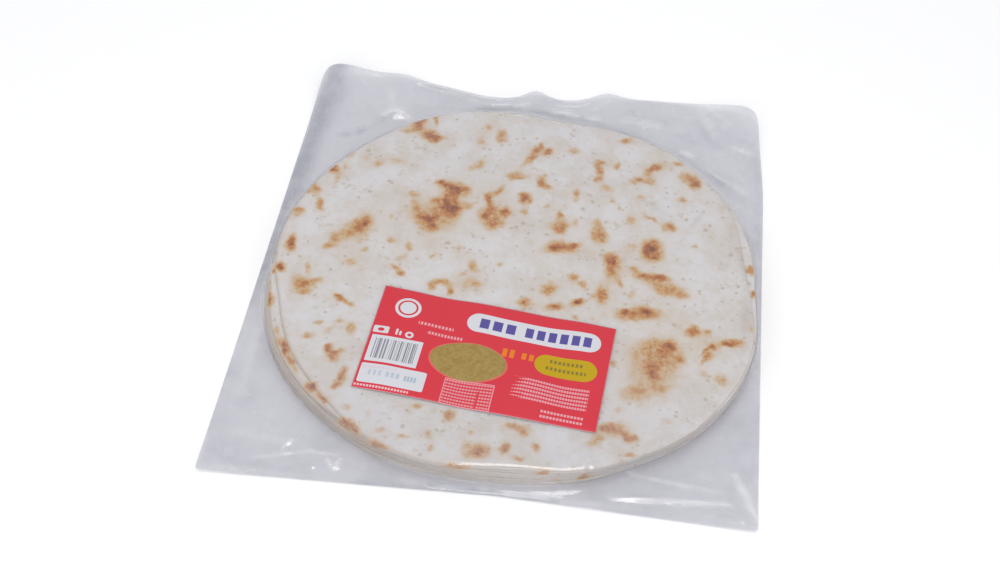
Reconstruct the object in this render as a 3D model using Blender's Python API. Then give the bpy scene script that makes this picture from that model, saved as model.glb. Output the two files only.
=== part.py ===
"""A clear sealed bag with a stack of ten round flatbreads, and the paper label stuck on it.

The bag lies flat, label up. +X runs along the bag's front edge, +Y to its back edge and +Z up,
and the origin is on the table, below the middle of the bag. All sizes are in metres.
"""

import math

import bmesh
import bpy
from mathutils import Matrix, Vector

# The stack of breads
BREAD_DIAMETER = 0.300
BREAD_THICKNESS = 0.0015
BREAD_COUNT = 10
STACK_HEIGHT = BREAD_COUNT * BREAD_THICKNESS
STACK_CENTRE = Vector((0.004, -0.0153))

# Where the top bread's rim is out of round: direction in degrees, how far out, spread in degrees
TOP_RIM = (
    (50, 0.0045, 20),
    (117, 0.0050, 11),
    (-113, 0.0035, 13),
    (-42, 0.0022, 26),
    (-84, -0.0060, 13),
    (2, -0.0052, 13),
    (85, -0.0052, 13),
    (-162, -0.0025, 9),
)

# The breads below lie further to the front left, and end sooner at the front
FOOT_RIM = (
    (-148, 0.0062, 38),
    (-86, -0.0048, 20),
    (-56, -0.0026, 12),
    (4, -0.0042, 16),
    (78, 0.0020, 30),
    (180, -0.0030, 12),
)

# Low blisters of the top bread, seen from the stack's centre: x, y, spread, height
BLISTERS = (
    (0.095, 0.030, 0.016, 0.0010),
    (0.060, 0.085, 0.013, 0.0007),
    (-0.055, 0.070, 0.014, 0.0008),
    (-0.100, -0.010, 0.013, 0.0007),
    (-0.030, 0.028, 0.018, 0.0006),
    (0.040, -0.108, 0.011, 0.0007),
    (-0.070, -0.095, 0.012, 0.0006),
)
# Shallow waves that run across the top bread in two slanting directions
RIPPLE_HEIGHT = 0.00030
RIPPLE_LENGTH = 0.070
CROSS_RIPPLE_LENGTH = 0.091
RIPPLE_SLANT = 0.35

# The bag
BAG_WIDTH = 0.308
BAG_LENGTH = 0.3585
FRONT_EDGE = -BAG_LENGTH / 2
FRONT_EDGE_STEP = 0.0105
FRONT_EDGE_BEND = 0.010
BACK_EDGE = BAG_LENGTH / 2
BACK_EDGE_STEP = -0.0115
# Where the back edge is drawn in or lies out: x, how far, spread
BACK_EDGE_WAVES = (
    (-0.100, 0.003, 0.016),
    (-0.034, -0.010, 0.030),
    (-0.006, 0.004, 0.009),
    (0.018, -0.008, 0.020),
    (0.043, 0.002, 0.010),
)
RIGHT_EDGE_TAPER = 0.009
RIGHT_TAPER_START = 0.085
RIGHT_TAPER_END = 0.175
FRONT_CORNER_SHARPNESS = 150
BACK_CORNER_SHARPNESS = 34
# The directions of the four corners from the stack's centre, in degrees
CORNERS = (-133.9, -45.4, 54.6, 129.6)

# The film
FILM_GAP = 0.0004
LEAST_MARGIN = 0.0022
MOST_OVERHANG = 0.0025
SEALED_EDGE_HEIGHT = 0.0008
MARGIN_HEIGHT = 0.0013
TENT_LENGTH = 0.0045
FOOT_HEIGHT = 0.0055
EDGE_EASE = 0.006
FOLD_EASE = 0.010
TENT_EASE = 0.003
LIFT_EASE = (0.001, 0.010)
FOLD_END = 0.08

# Where both films rise off the table together: x, y, height, spread
LIFTS = (
    (-0.150, 0.177, 0.0062, 0.034),
    (0.148, 0.183, 0.0046, 0.036),
    (0.043, 0.181, 0.0032, 0.013),
    (-0.006, 0.173, 0.0026, 0.011),
    (-0.096, 0.181, 0.0028, 0.014),
    (0.158, -0.171, 0.0016, 0.020),
    (-0.158, -0.183, 0.0012, 0.026),
    (0.062, -0.174, 0.0016, 0.010),
)

# Folds in the film beside the stack: start x, y, end x, y, height, width
FOLDS = (
    (-0.139, 0.161, -0.145, 0.052, 0.0046, 0.0070),
    (-0.124, 0.114, -0.082, 0.134, 0.0032, 0.0060),
    (-0.060, 0.154, -0.034, 0.148, 0.0028, 0.0060),
    (0.045, 0.172, 0.052, 0.148, 0.0032, 0.0060),
    (0.092, 0.170, 0.110, 0.128, 0.0036, 0.0060),
    (0.118, 0.150, 0.145, 0.088, 0.0038, 0.0060),
    (0.140, 0.166, 0.147, 0.090, 0.0030, 0.0055),
    (-0.146, -0.138, -0.070, -0.164, 0.0024, 0.0060),
    (-0.148, -0.166, -0.095, -0.156, 0.0020, 0.0050),
    (-0.138, -0.098, -0.150, -0.158, 0.0020, 0.0060),
    (0.074, -0.158, 0.134, -0.156, 0.0030, 0.0045),
    (0.098, -0.144, 0.140, -0.148, 0.0020, 0.0050),
    (0.136, -0.126, 0.147, -0.160, 0.0038, 0.0060),
)

# The label
LABEL_LENGTH = 0.140
LABEL_WIDTH = 0.0786
LABEL_THICKNESS = 0.0004
LABEL_GAP = 0.0004
LABEL_CENTRE = Vector((-0.0063, -0.0848))
LABEL_TURN = math.radians(-4.0)
LABEL_COLUMNS = 20
LABEL_ROWS = 12

# How finely the bag is divided: shares of the way from the middle to the rim, from the rim to the
# stack's foot with the drop there, and from the foot to the sealed edge
SPOKES = 128
CORNER_CROWDING = 0.4
TOP_RINGS = (0.07, 0.18, 0.30, 0.42, 0.54, 0.66, 0.77, 0.87, 0.94, 0.985)
SIDE_RINGS = (
    (0.00, 0.0007),
    (0.06, 0.0020),
    (0.45, 0.0042),
    (0.90, 0.0066),
)
MARGIN_RINGS = (0.0, 0.05, 0.12, 0.22, 0.36, 0.52, 0.70, 0.87, 1.0)
UNDER_RINGS = (0.0, 0.22, 0.46, 0.74, 1.0)

SHARP_ANGLE = math.radians(50)

# Finishes: colour, roughness
FINISHES = {
    "sealed_bag": ((0.62, 0.60, 0.62), 0.25),
    "label": ((0.67, 0.05, 0.075), 0.45),
}


def swell(distance, spread):
    """A smooth hump, 1 at its middle and gone two spreads away."""
    return math.exp(-((distance / spread) ** 2))


def ramp(value, start, end):
    """0 before start, 1 after end and smooth between."""
    share = min(max((value - start) / (end - start), 0.0), 1.0)
    return share * share * (3 - 2 * share)


def blend(a, b, share):
    return a + (b - a) * share


def rim_radius(angle, swells):
    """The radius of a bread's rim in one direction, out of round by the given swells."""
    radius = BREAD_DIAMETER / 2
    for direction, height, spread in swells:
        away = (math.degrees(angle) - direction + 180) % 360 - 180
        radius += height * swell(away, spread)
    return radius


def front_edge(x):
    """The front edge slants back from the left corner, and is straight along its right half."""
    share = min(max((x + BAG_WIDTH / 2) / (FRONT_EDGE_BEND + BAG_WIDTH / 2), 0.0), 1.0)
    return FRONT_EDGE + FRONT_EDGE_STEP * share


def back_edge(x):
    """The back edge reaches furthest at its right end, and is drawn in by small waves."""
    edge = BACK_EDGE + BACK_EDGE_STEP * (1 - ramp(x, -0.05, 0.10))
    for place, height, spread in BACK_EDGE_WAVES:
        edge += height * swell(x - place, spread)
    return edge


def bag_edge_radius(angle):
    """How far the bag's edge is from the stack's centre in one direction."""
    across = math.cos(angle)
    along = math.sin(angle)
    sharpness = BACK_CORNER_SHARPNESS if along > 0 else FRONT_CORNER_SHARPNESS
    far = 10 * BAG_WIDTH
    to_side = to_end = far
    radius = BAG_WIDTH / 2
    for _ in range(12):
        x = min(max(STACK_CENTRE.x + radius * across, -BAG_WIDTH / 2), BAG_WIDTH / 2)
        y = STACK_CENTRE.y + radius * along
        half = BAG_WIDTH / 2
        if across > 0:
            half -= RIGHT_EDGE_TAPER * ramp(y, RIGHT_TAPER_START, RIGHT_TAPER_END)
        side = half if across > 0 else -half
        end = back_edge(x) if along > 0 else front_edge(x)
        if abs(across) > 1e-6:
            to_side = min((side - STACK_CENTRE.x) / across, far)
        if abs(along) > 1e-6:
            to_end = min((end - STACK_CENTRE.y) / along, far)
        near, beyond = sorted((to_side, to_end))
        radius = near * (1 + (near / beyond) ** sharpness) ** (-1 / sharpness)
    return radius


def top_height(x, y):
    """The film's height where it lies on the top bread."""
    ripple = math.sin(2 * math.pi * (x + RIPPLE_SLANT * y) / RIPPLE_LENGTH)
    cross_ripple = math.sin(2 * math.pi * (y - RIPPLE_SLANT * x) / CROSS_RIPPLE_LENGTH)
    height = STACK_HEIGHT + RIPPLE_HEIGHT * ripple * cross_ripple
    for blister_x, blister_y, spread, rise in BLISTERS:
        away = math.hypot(x - STACK_CENTRE.x - blister_x, y - STACK_CENTRE.y - blister_y)
        height += rise * swell(away, spread)
    return height


def lift_height(x, y, from_foot):
    """How far both films are off the table, such as at a corner that curls up."""
    rise = 0.0
    for lift_x, lift_y, height, spread in LIFTS:
        rise += height * swell(math.hypot(x - lift_x, y - lift_y), spread)
    return rise * ramp(from_foot, *LIFT_EASE)


def fold_height(x, y):
    """What the folds add to the film beside the stack."""
    height = 0.0
    point = Vector((x, y))
    for x0, y0, x1, y1, rise, width in FOLDS:
        start = Vector((x0, y0))
        run = Vector((x1, y1)) - start
        share = min(max((point - start).dot(run) / run.length_squared, 0.0), 1.0)
        away = (point - start - run * share).length
        taper = math.sin(math.pi * min(max(share, FOLD_END), 1 - FOLD_END))
        height = max(height, rise * taper * swell(away, width))
    return height


def margin_height(x, y, from_foot, to_edge):
    """The film falls from the stack's side like a tent, and lies in low folds to the sealed edge."""
    tent = (FOOT_HEIGHT - MARGIN_HEIGHT) * math.exp(-from_foot / TENT_LENGTH)
    flat = blend(SEALED_EDGE_HEIGHT, MARGIN_HEIGHT, ramp(to_edge, 0, EDGE_EASE))
    folds = fold_height(x, y) * ramp(to_edge, 0, FOLD_EASE)
    return flat + folds + tent * ramp(to_edge, 0, TENT_EASE)


def spoke_angle(spoke):
    """One spoke runs to each of the bag's four corners, and the rest stand closer near the corners."""
    side, step = divmod(spoke, SPOKES // len(CORNERS))
    start = CORNERS[side]
    end = (*CORNERS, CORNERS[0] + 360)[side + 1]
    turn = 2 * math.pi * step * len(CORNERS) / SPOKES
    return math.radians(blend(start, end, (turn - CORNER_CROWDING * math.sin(turn)) / (2 * math.pi)))


def spoke_points(spoke):
    """The points along one spoke: out under the margin to the sealed edge, and back over the top."""
    angle = spoke_angle(spoke)
    outward = Vector((math.cos(angle), math.sin(angle)))
    edge = bag_edge_radius(angle)
    foot = min(rim_radius(angle, FOOT_RIM) + FILM_GAP, edge - LEAST_MARGIN)
    top = min(rim_radius(angle, TOP_RIM), foot + MOST_OVERHANG)
    points = []
    for share in UNDER_RINGS:
        radius = blend(foot, edge, share)
        x, y = STACK_CENTRE + outward * radius
        points.append(Vector((x, y, lift_height(x, y, radius - foot))))
    for share in reversed(MARGIN_RINGS):
        radius = blend(foot, edge, share)
        x, y = STACK_CENTRE + outward * radius
        lift = lift_height(x, y, radius - foot)
        points.append(Vector((x, y, lift + margin_height(x, y, radius - foot, edge - radius))))
    for share, drop in reversed(SIDE_RINGS):
        x, y = STACK_CENTRE + outward * blend(top, foot, share)
        points.append(Vector((x, y, top_height(x, y) - drop)))
    for share in reversed(TOP_RINGS):
        x, y = STACK_CENTRE + outward * (top * share)
        points.append(Vector((x, y, top_height(x, y))))
    return points


def finish_of(name):
    """A material with the colour and roughness of this piece."""
    colour, roughness = FINISHES[name]
    material = bpy.data.materials.new(name)
    material.use_nodes = True
    shader = material.node_tree.nodes["Principled BSDF"]
    shader.inputs["Base Color"].default_value = (*colour, 1)
    shader.inputs["Roughness"].default_value = roughness
    shader.inputs["Metallic"].default_value = 0
    return material


def add_object(name, shape):
    """An object of this name from a bmesh, shaded smooth but for its sharp edges."""
    mesh = bpy.data.meshes.new(name)
    bmesh.ops.recalc_face_normals(shape, faces=shape.faces)
    shape.to_mesh(mesh)
    shape.free()
    mesh.materials.append(finish_of(name))
    mesh.shade_smooth()
    mesh.set_sharp_from_angle(angle=SHARP_ANGLE)
    made = bpy.data.objects.new(name, mesh)
    bpy.context.scene.collection.objects.link(made)
    return made


def make_sealed_bag():
    """The bag's outer form: the flat face under the stack, drawn out and up ring by ring to the top."""
    spokes = [spoke_points(spoke) for spoke in range(SPOKES)]
    shape = bmesh.new()
    order = bmesh.ops.create_circle(shape, cap_ends=True, radius=1, segments=SPOKES)["verts"]
    for vert, points in zip(order, spokes):
        vert.co = points[0]
    edges = shape.edges[:]
    for level in range(1, len(spokes[0])):
        places = {vert: index for index, vert in enumerate(order)}
        drawn = bmesh.ops.extrude_edge_only(shape, edges=edges)["geom"]
        edges = [part for part in drawn if isinstance(part, bmesh.types.BMEdge)]
        for vert in [part for part in drawn if isinstance(part, bmesh.types.BMVert)]:
            neighbours = [edge.other_vert(vert) for edge in vert.link_edges]
            spoke = next(places[near] for near in neighbours if near in places)
            order[spoke] = vert
            vert.co = spokes[spoke][level]
    crown = bmesh.ops.contextual_create(shape, geom=edges)["faces"]
    middle = bmesh.ops.poke(shape, faces=crown)["verts"][0]
    middle.co.z = top_height(middle.co.x, middle.co.y)
    return add_object("sealed_bag", shape)


def make_label():
    """The paper label: a thin sheet that follows the top bread's swell, a hair above the film."""
    shape = bmesh.new()
    bmesh.ops.create_grid(shape, x_segments=LABEL_COLUMNS, y_segments=LABEL_ROWS, size=0.5)
    turn = Matrix.Rotation(LABEL_TURN, 2)
    for vert in shape.verts:
        flat = turn @ Vector((vert.co.x * LABEL_LENGTH, vert.co.y * LABEL_WIDTH)) + LABEL_CENTRE
        vert.co = (flat.x, flat.y, top_height(flat.x, flat.y) + LABEL_GAP)
    lifted = bmesh.ops.extrude_face_region(shape, geom=shape.faces[:])["geom"]
    for part in lifted:
        if isinstance(part, bmesh.types.BMVert):
            part.co.z += LABEL_THICKNESS
    return add_object("label", shape)


def main():
    for old in list(bpy.data.objects):
        bpy.data.objects.remove(old)
    make_sealed_bag()
    make_label()


main()
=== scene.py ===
"""The looks of a clear bag of ten round flatbreads with a paper label stuck on it.

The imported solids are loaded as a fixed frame. The bag's solid is replaced by its film and the breads
in it, and the label's solid by a thin printed sheet. All sizes are in metres and +Z is up.
"""

import math
import random
from functools import lru_cache

import bmesh
import bpy
import numpy as np
from bpy.props import FloatProperty, FloatVectorProperty, PointerProperty
from mathutils import Matrix, Vector, noise


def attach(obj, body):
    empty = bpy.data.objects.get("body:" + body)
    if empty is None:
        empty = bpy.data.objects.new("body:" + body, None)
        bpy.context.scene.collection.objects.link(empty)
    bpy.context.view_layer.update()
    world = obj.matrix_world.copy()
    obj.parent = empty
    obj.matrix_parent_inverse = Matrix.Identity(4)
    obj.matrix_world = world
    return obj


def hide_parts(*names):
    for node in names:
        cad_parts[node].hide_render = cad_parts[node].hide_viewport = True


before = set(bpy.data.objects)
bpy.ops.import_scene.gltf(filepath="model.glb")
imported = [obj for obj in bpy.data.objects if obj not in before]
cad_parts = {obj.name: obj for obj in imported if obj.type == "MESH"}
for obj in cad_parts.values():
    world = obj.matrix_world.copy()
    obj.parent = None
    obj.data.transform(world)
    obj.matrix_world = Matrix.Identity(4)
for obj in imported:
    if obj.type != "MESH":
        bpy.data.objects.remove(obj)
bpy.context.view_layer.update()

bl_info = {
    "name": "Bag of Flatbreads",
    "version": (1, 0, 0),
    "blender": (4, 5, 0),
    "location": "View3D > Sidebar > Flatbreads",
    "description": "Makes a clear bag of round flatbreads, its label and a plain stage",
    "category": "Object",
}

BODY = "root"

# The photograph's frame and the camera that took it
PHOTO_WIDTH = 1000
PHOTO_HEIGHT = 563
FOCAL_PIXELS = 1500
SENSOR_WIDTH = 36
CAMERA_PLACE = Vector((0.03849, -0.63695, 0.6808))
CAMERA_DIP = math.radians(47.3)
CAMERA_TURN = math.radians(4.2)
CAMERA_ROLL = math.radians(4.44)
CAMERA_AXES = (
    Matrix.Rotation(CAMERA_TURN, 3, "Z")
    @ Matrix.Rotation(math.pi / 2 - CAMERA_DIP, 3, "X")
    @ Matrix.Rotation(CAMERA_ROLL, 3, "Z")
)

# The stack
BREAD_RADIUS = 0.150
BREAD_COUNT = 10
STACK_HEIGHT = 0.015
STACK_CENTRE = Vector((0.004, -0.0153))
# Where a rim is out of round: direction in degrees, how far out, spread in degrees
TOP_RIM = (
    (50, 0.0045, 20),
    (117, 0.0050, 11),
    (-113, 0.0035, 13),
    (-42, 0.0022, 26),
    (-84, -0.0060, 13),
    (2, -0.0052, 13),
    (85, -0.0052, 13),
    (-162, -0.0025, 9),
)
FOOT_RIM = (
    (-148, 0.0062, 38),
    (-86, -0.0048, 20),
    (-56, -0.0026, 12),
    (4, -0.0042, 16),
    (78, 0.0020, 30),
    (180, -0.0030, 12),
)
# Low blisters of the top bread, seen from the stack's centre: x, y, spread, height
BLISTERS = (
    (0.095, 0.030, 0.016, 0.0010),
    (0.060, 0.085, 0.013, 0.0007),
    (-0.055, 0.070, 0.014, 0.0008),
    (-0.100, -0.010, 0.013, 0.0007),
    (-0.030, 0.028, 0.018, 0.0006),
    (0.040, -0.108, 0.011, 0.0007),
    (-0.070, -0.095, 0.012, 0.0006),
)
RIPPLE_HEIGHT = 0.00030
RIPPLE_LENGTH = 0.070
CROSS_RIPPLE_LENGTH = 0.091
RIPPLE_SLANT = 0.35

# The bag's outline
BAG_WIDTH = 0.308
BAG_LENGTH = 0.3585
FRONT_EDGE = -BAG_LENGTH / 2
FRONT_EDGE_STEP = 0.0105
FRONT_EDGE_BEND = 0.010
BACK_EDGE = BAG_LENGTH / 2
BACK_EDGE_STEP = -0.0115
BACK_STEP_REACH = (-0.05, 0.10)
# Waves of the back edge: place, how far out, spread
BACK_EDGE_WAVES = (
    (-0.100, 0.003, 0.016),
    (-0.034, -0.0066, 0.030),
    (-0.006, 0.004, 0.009),
    (0.018, -0.0045, 0.020),
    (0.043, 0.002, 0.010),
)
# The right edge is drawn in towards the back: how far, and along which stretch
RIGHT_EDGE_TAPER = 0.0045
RIGHT_TAPER = (0.085, 0.175)
FRONT_CORNER_SHARPNESS = 150
BACK_CORNER_SHARPNESS = 25
# The corners' directions from the stack's centre, in degrees
CORNERS = (-133.9, -45.4, 54.6, 129.6)
# How many steps find the edge, and a distance beyond any edge
EDGE_STEPS = 12
BEYOND_EDGE = 10 * BAG_WIDTH
TINY = 1e-6
ANGLE_DIGITS = 3

# The film's form
FILM_GAP = 0.0004
LEAST_MARGIN = 0.0022
MOST_OVERHANG = 0.0025
SEALED_EDGE_HEIGHT = 0.0004
MARGIN_HEIGHT = 0.0009
TENT_LENGTH = 0.0024
FOOT_HEIGHT = 0.0055
EDGE_EASE = 0.012
FOLD_EASE = 0.010
TENT_EASE = 0.003
LIFT_EASE = (0.001, 0.010)
# A stroke is as high along its way as an arch whose ends are cut off: by this share on a fold
FOLD_END = 0.08
# Where both films rise off the table together: x, y, height, spread
LIFTS = (
    (-0.150, 0.177, 0.0098, 0.034),
    (0.148, 0.183, 0.0062, 0.036),
    (0.043, 0.181, 0.0032, 0.013),
    (-0.006, 0.173, 0.0026, 0.011),
    (-0.096, 0.181, 0.0028, 0.014),
    (0.158, -0.171, 0.0009, 0.020),
    (-0.158, -0.183, 0.0012, 0.026),
    (0.062, -0.174, 0.0011, 0.010),
)
# Folds in the film beside the stack: start x, y, end x, y, height, width
FOLDS = (
    (-0.139, 0.161, -0.145, 0.052, 0.0023, 0.0035),
    (-0.124, 0.114, -0.082, 0.134, 0.0016, 0.0030),
    (-0.060, 0.154, -0.034, 0.148, 0.0014, 0.0030),
    (0.045, 0.172, 0.052, 0.148, 0.0016, 0.0030),
    (0.092, 0.170, 0.110, 0.128, 0.0018, 0.0030),
    (0.118, 0.150, 0.145, 0.088, 0.0019, 0.0030),
    (0.140, 0.166, 0.147, 0.090, 0.0015, 0.0027),
    (-0.146, -0.138, -0.070, -0.164, 0.0006, 0.0030),
    (-0.148, -0.166, -0.095, -0.156, 0.0005, 0.0025),
    (-0.138, -0.098, -0.150, -0.158, 0.0010, 0.0030),
    (0.074, -0.158, 0.134, -0.156, 0.0004, 0.0022),
    (0.098, -0.144, 0.140, -0.148, 0.0002, 0.0025),
    (0.136, -0.126, 0.147, -0.160, 0.0011, 0.0030),
)
# How far down the stack's side the film is, at shares of the way from the top rim to the foot
SIDE_PROFILE = (
    (0.00, 0.0007),
    (0.06, 0.0020),
    (0.45, 0.0042),
    (0.90, 0.0066),
    (1.00, 0.0095),
)

# Fine creases in the film's margins, where the photograph shows them: start across, down, end across,
# down, in pixels, then height and width
CREASES = (
    (338, 133, 352, 131, 0.0008, 0.0016),
    (352, 131, 366, 124, 0.0008, 0.0016),
    (366, 124, 385, 113, 0.0009, 0.0016),
    (381, 112, 411, 116, 0.0020, 0.0034),
    (398, 106, 404, 118, 0.0012, 0.0022),
    (515, 109, 528, 104, 0.0010, 0.0020),
    (556, 118, 574, 112, 0.0014, 0.0022),
    (628, 118, 668, 128, 0.0010, 0.0024),
    (640, 132, 662, 122, 0.0010, 0.0020),
    (676, 130, 700, 166, 0.0012, 0.0020),
    (700, 122, 716, 160, 0.0010, 0.0020),
    (688, 158, 724, 180, 0.0007, 0.0014),
    (724, 180, 758, 198, 0.0006, 0.0014),
    (712, 150, 740, 176, 0.0010, 0.0018),
    (734, 148, 746, 162, 0.0010, 0.0020),
    (700, 190, 752, 232, 0.0006, 0.0014),
    (222, 459, 262, 455, 0.0005, 0.0014),
    (262, 455, 300, 451, 0.0005, 0.0014),
    (300, 451, 345, 455, 0.0005, 0.0014),
    (279, 450, 292, 439, 0.0009, 0.0011),
    (307, 467, 315, 465, 0.0010, 0.0011),
    (327, 458, 333, 470, 0.0011, 0.0011),
    (340, 458, 333, 470, 0.0011, 0.0011),
    (240, 420, 262, 378, 0.0006, 0.0020),
    (232, 440, 268, 408, 0.0005, 0.0016),
    (612, 497, 672, 500, 0.0006, 0.0015),
    (664, 500, 732, 506, 0.0006, 0.0015),
    (629, 473, 722, 493, 0.0003, 0.0012),
    (733, 474, 744, 496, 0.0012, 0.0026),
    (740, 488, 757, 519, 0.0011, 0.0030),
    (700, 492, 740, 470, 0.0003, 0.0020),
)
CREASE_EASE = 0.0025
CREASE_END = 0.04
# The height at which the pixels of the margin's strokes are placed
CREASE_LEVEL = 0.0015
# Painted shade and double film: where the film's margin is a double layer, and where shade falls on it
# under the stack's front, behind its back rim and beside folds, its haze is darker: start across, down,
# end across, down, in pixels, then strength and width
DOUBLED_AND_SHADE = (
    (338, 76, 320, 118, 0.95, 0.0080),
    (320, 118, 284, 205, 0.95, 0.0066),
    (284, 205, 250, 300, 0.75, 0.0050),
    (248, 300, 205, 430, 0.35, 0.0032),
    (758, 130, 761, 240, 0.20, 0.0040),
    (761, 240, 762, 340, 0.22, 0.0050),
    (762, 340, 760, 470, 0.16, 0.0028),
    (430, 483, 490, 491, 0.85, 0.0022),
    (490, 491, 556, 498, 0.70, 0.0022),
    (300, 480, 430, 488, 0.40, 0.0030),
    (336, 132, 356, 132, 0.60, 0.0012),
    (354, 132, 370, 125, 0.70, 0.0012),
    (368, 126, 386, 116, 0.50, 0.0012),
    (462, 110, 510, 106, 0.60, 0.0022),
    (510, 106, 585, 117, 0.60, 0.0022),
    (585, 117, 690, 158, 0.45, 0.0022),
    (690, 158, 748, 200, 0.35, 0.0030),
    (694, 112, 714, 146, 0.24, 0.0026),
    (634, 108, 641, 132, 0.20, 0.0022),
)
# Painted highlights along the film's creases and folds: start across, down, end across, down, in pixels,
# then strength and width
PAINTED_SHEENS = (
    (384, 115, 398, 110, 0.45, 0.0030),
    (396, 111, 407, 118, 0.60, 0.0036),
    (391, 92, 393, 106, 0.16, 0.0030),
    (448, 91, 460, 93, 0.22, 0.0030),
    (517, 106, 527, 104, 0.35, 0.0026),
    (555, 112, 577, 116, 0.45, 0.0030),
    (586, 118, 598, 119, 0.35, 0.0026),
    (627, 121, 656, 127, 0.26, 0.0040),
    (636, 112, 644, 132, 0.16, 0.0022),
    (683, 152, 691, 157, 0.45, 0.0022),
    (734, 150, 748, 155, 0.30, 0.0036),
    (709, 112, 714, 113, 0.18, 0.0024),
    (700, 110, 716, 140, 0.14, 0.0026),
    (690, 160, 745, 194, 0.22, 0.0016),
    (706, 196, 756, 238, 0.16, 0.0022),
    (738, 240, 756, 262, 0.14, 0.0024),
    (258, 330, 240, 392, 0.14, 0.0030),
    (232, 430, 292, 444, 0.14, 0.0026),
    (255, 457, 310, 451, 0.24, 0.0014),
    (310, 451, 336, 455, 0.24, 0.0014),
    (284, 447, 292, 440, 0.45, 0.0016),
    (215, 466, 300, 474, 0.16, 0.0020),
    (327, 459, 333, 469, 0.50, 0.0012),
    (340, 459, 333, 469, 0.50, 0.0012),
    (612, 499, 672, 501, 0.45, 0.0016),
    (664, 500, 730, 505, 0.50, 0.0016),
    (629, 474, 720, 493, 0.22, 0.0014),
    (736, 478, 752, 508, 0.45, 0.0034),
    (746, 500, 757, 518, 0.45, 0.0026),
    (560, 500, 640, 508, 0.14, 0.0020),
)
STROKE_END = 0.25
# A painted lighter band on the film behind the back rim, where it is taut, laid over the shade there:
# width, strength, and where it comes in
RIM_BAND = 0.010
RIM_BAND_SHARE = 0.12
RIM_BAND_EASE = (-0.001, 0.001)
RIM_BAND_REACH = (-0.04, 0.08)
SEAM_INSET = 0.0052
SEAM_HEIGHT = 0.00002
SEAM_WIDTH = 0.0007
EDGE_ANGLE = math.radians(75)
SWELL_LENGTHS = (0.036, 0.014)
SWELL_HEIGHTS = (0.00040, 0.00012)
# The film in front of the stack is tauter, and swells less by this share
FRONT_CALM = 0.6
FRONT_CALM_REACH = (0.13, 0.16)

# How finely the film is divided
FILM_SPOKES = 640
CORNER_CROWDING = 0.35
UNDER_CORE_RINGS = 4
UNDER_MARGIN_RINGS = 12
MARGIN_RINGS = 36
SIDE_RINGS = 14
TOP_RINGS = 26
# Rings stand closer near the sealed edge and near the top rim
MARGIN_CROWDING = 1.15
TOP_CROWDING = 1.6
TOP_RIM_EASE = 0.018
MERGE_DISTANCE = 1e-7
# Small kinks of the film on the stack's front rim: start across, down, end across, down, in pixels,
# then height and width
RIM_KINKS = (
    (440, 457, 482, 465, 0.0003, 0.0012),
    (566, 464, 579, 470, 0.0005, 0.0012),
    (579, 470, 590, 461, 0.0005, 0.0012),
    (590, 461, 597, 470, 0.0005, 0.0012),
    (597, 470, 615, 469, 0.0004, 0.0012),
    (300, 372, 318, 396, 0.0003, 0.0014),
    (728, 398, 731, 408, 0.0006, 0.0014),
    (470, 112, 520, 112, 0.0003, 0.0016),
)
RIM_LEVEL = STACK_HEIGHT

# The breads: how far each reaches from the top rim to the stack's foot, bottom bread first, where the
# foot lies outside the rim and where it lies inside
REACH_OUT = (1.00, 0.96, 1.00, 0.93, 0.98, 0.84, 0.40, 0.25, 0.64, 0.00)
REACH_IN = (1.00, 1.00, 1.00, 1.00, 0.98, 0.93, 0.79, 0.53, 0.27, 0.05)
TOP_BREAD_RIM = (
    (16, -0.0058, 16),
    (-30, -0.0012, 14),
    (-150, -0.0010, 20),
)
BREAD_CELLS = (84, 84, 84, 84, 96, 110, 84, 84, 150, 268)
BREAD_CLEARANCE = 0.00035
BREAD_STEP = (STACK_HEIGHT - 2 * BREAD_CLEARANCE) / BREAD_COUNT
BREAD_SPACE = 0.00004
RIM_CROWDING = 1.5
RIM_ROUND = 0.00028
# The rims wander in and out: length and reach
RIM_WAVES = (
    (0.013, 0.0005),
    (0.042, 0.0016),
)
# How far apart the breads' waves are taken from the noise
LEVEL_SHIFT = 3.7
RIM_DROOP = 0.00035
RIM_DROOP_LENGTH = 0.0040
# Low lumps of the top bread: length and height
LUMPS = (
    (0.026, 0.00013),
    (0.011, 0.00009),
    (0.0050, 0.00005),
)

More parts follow.
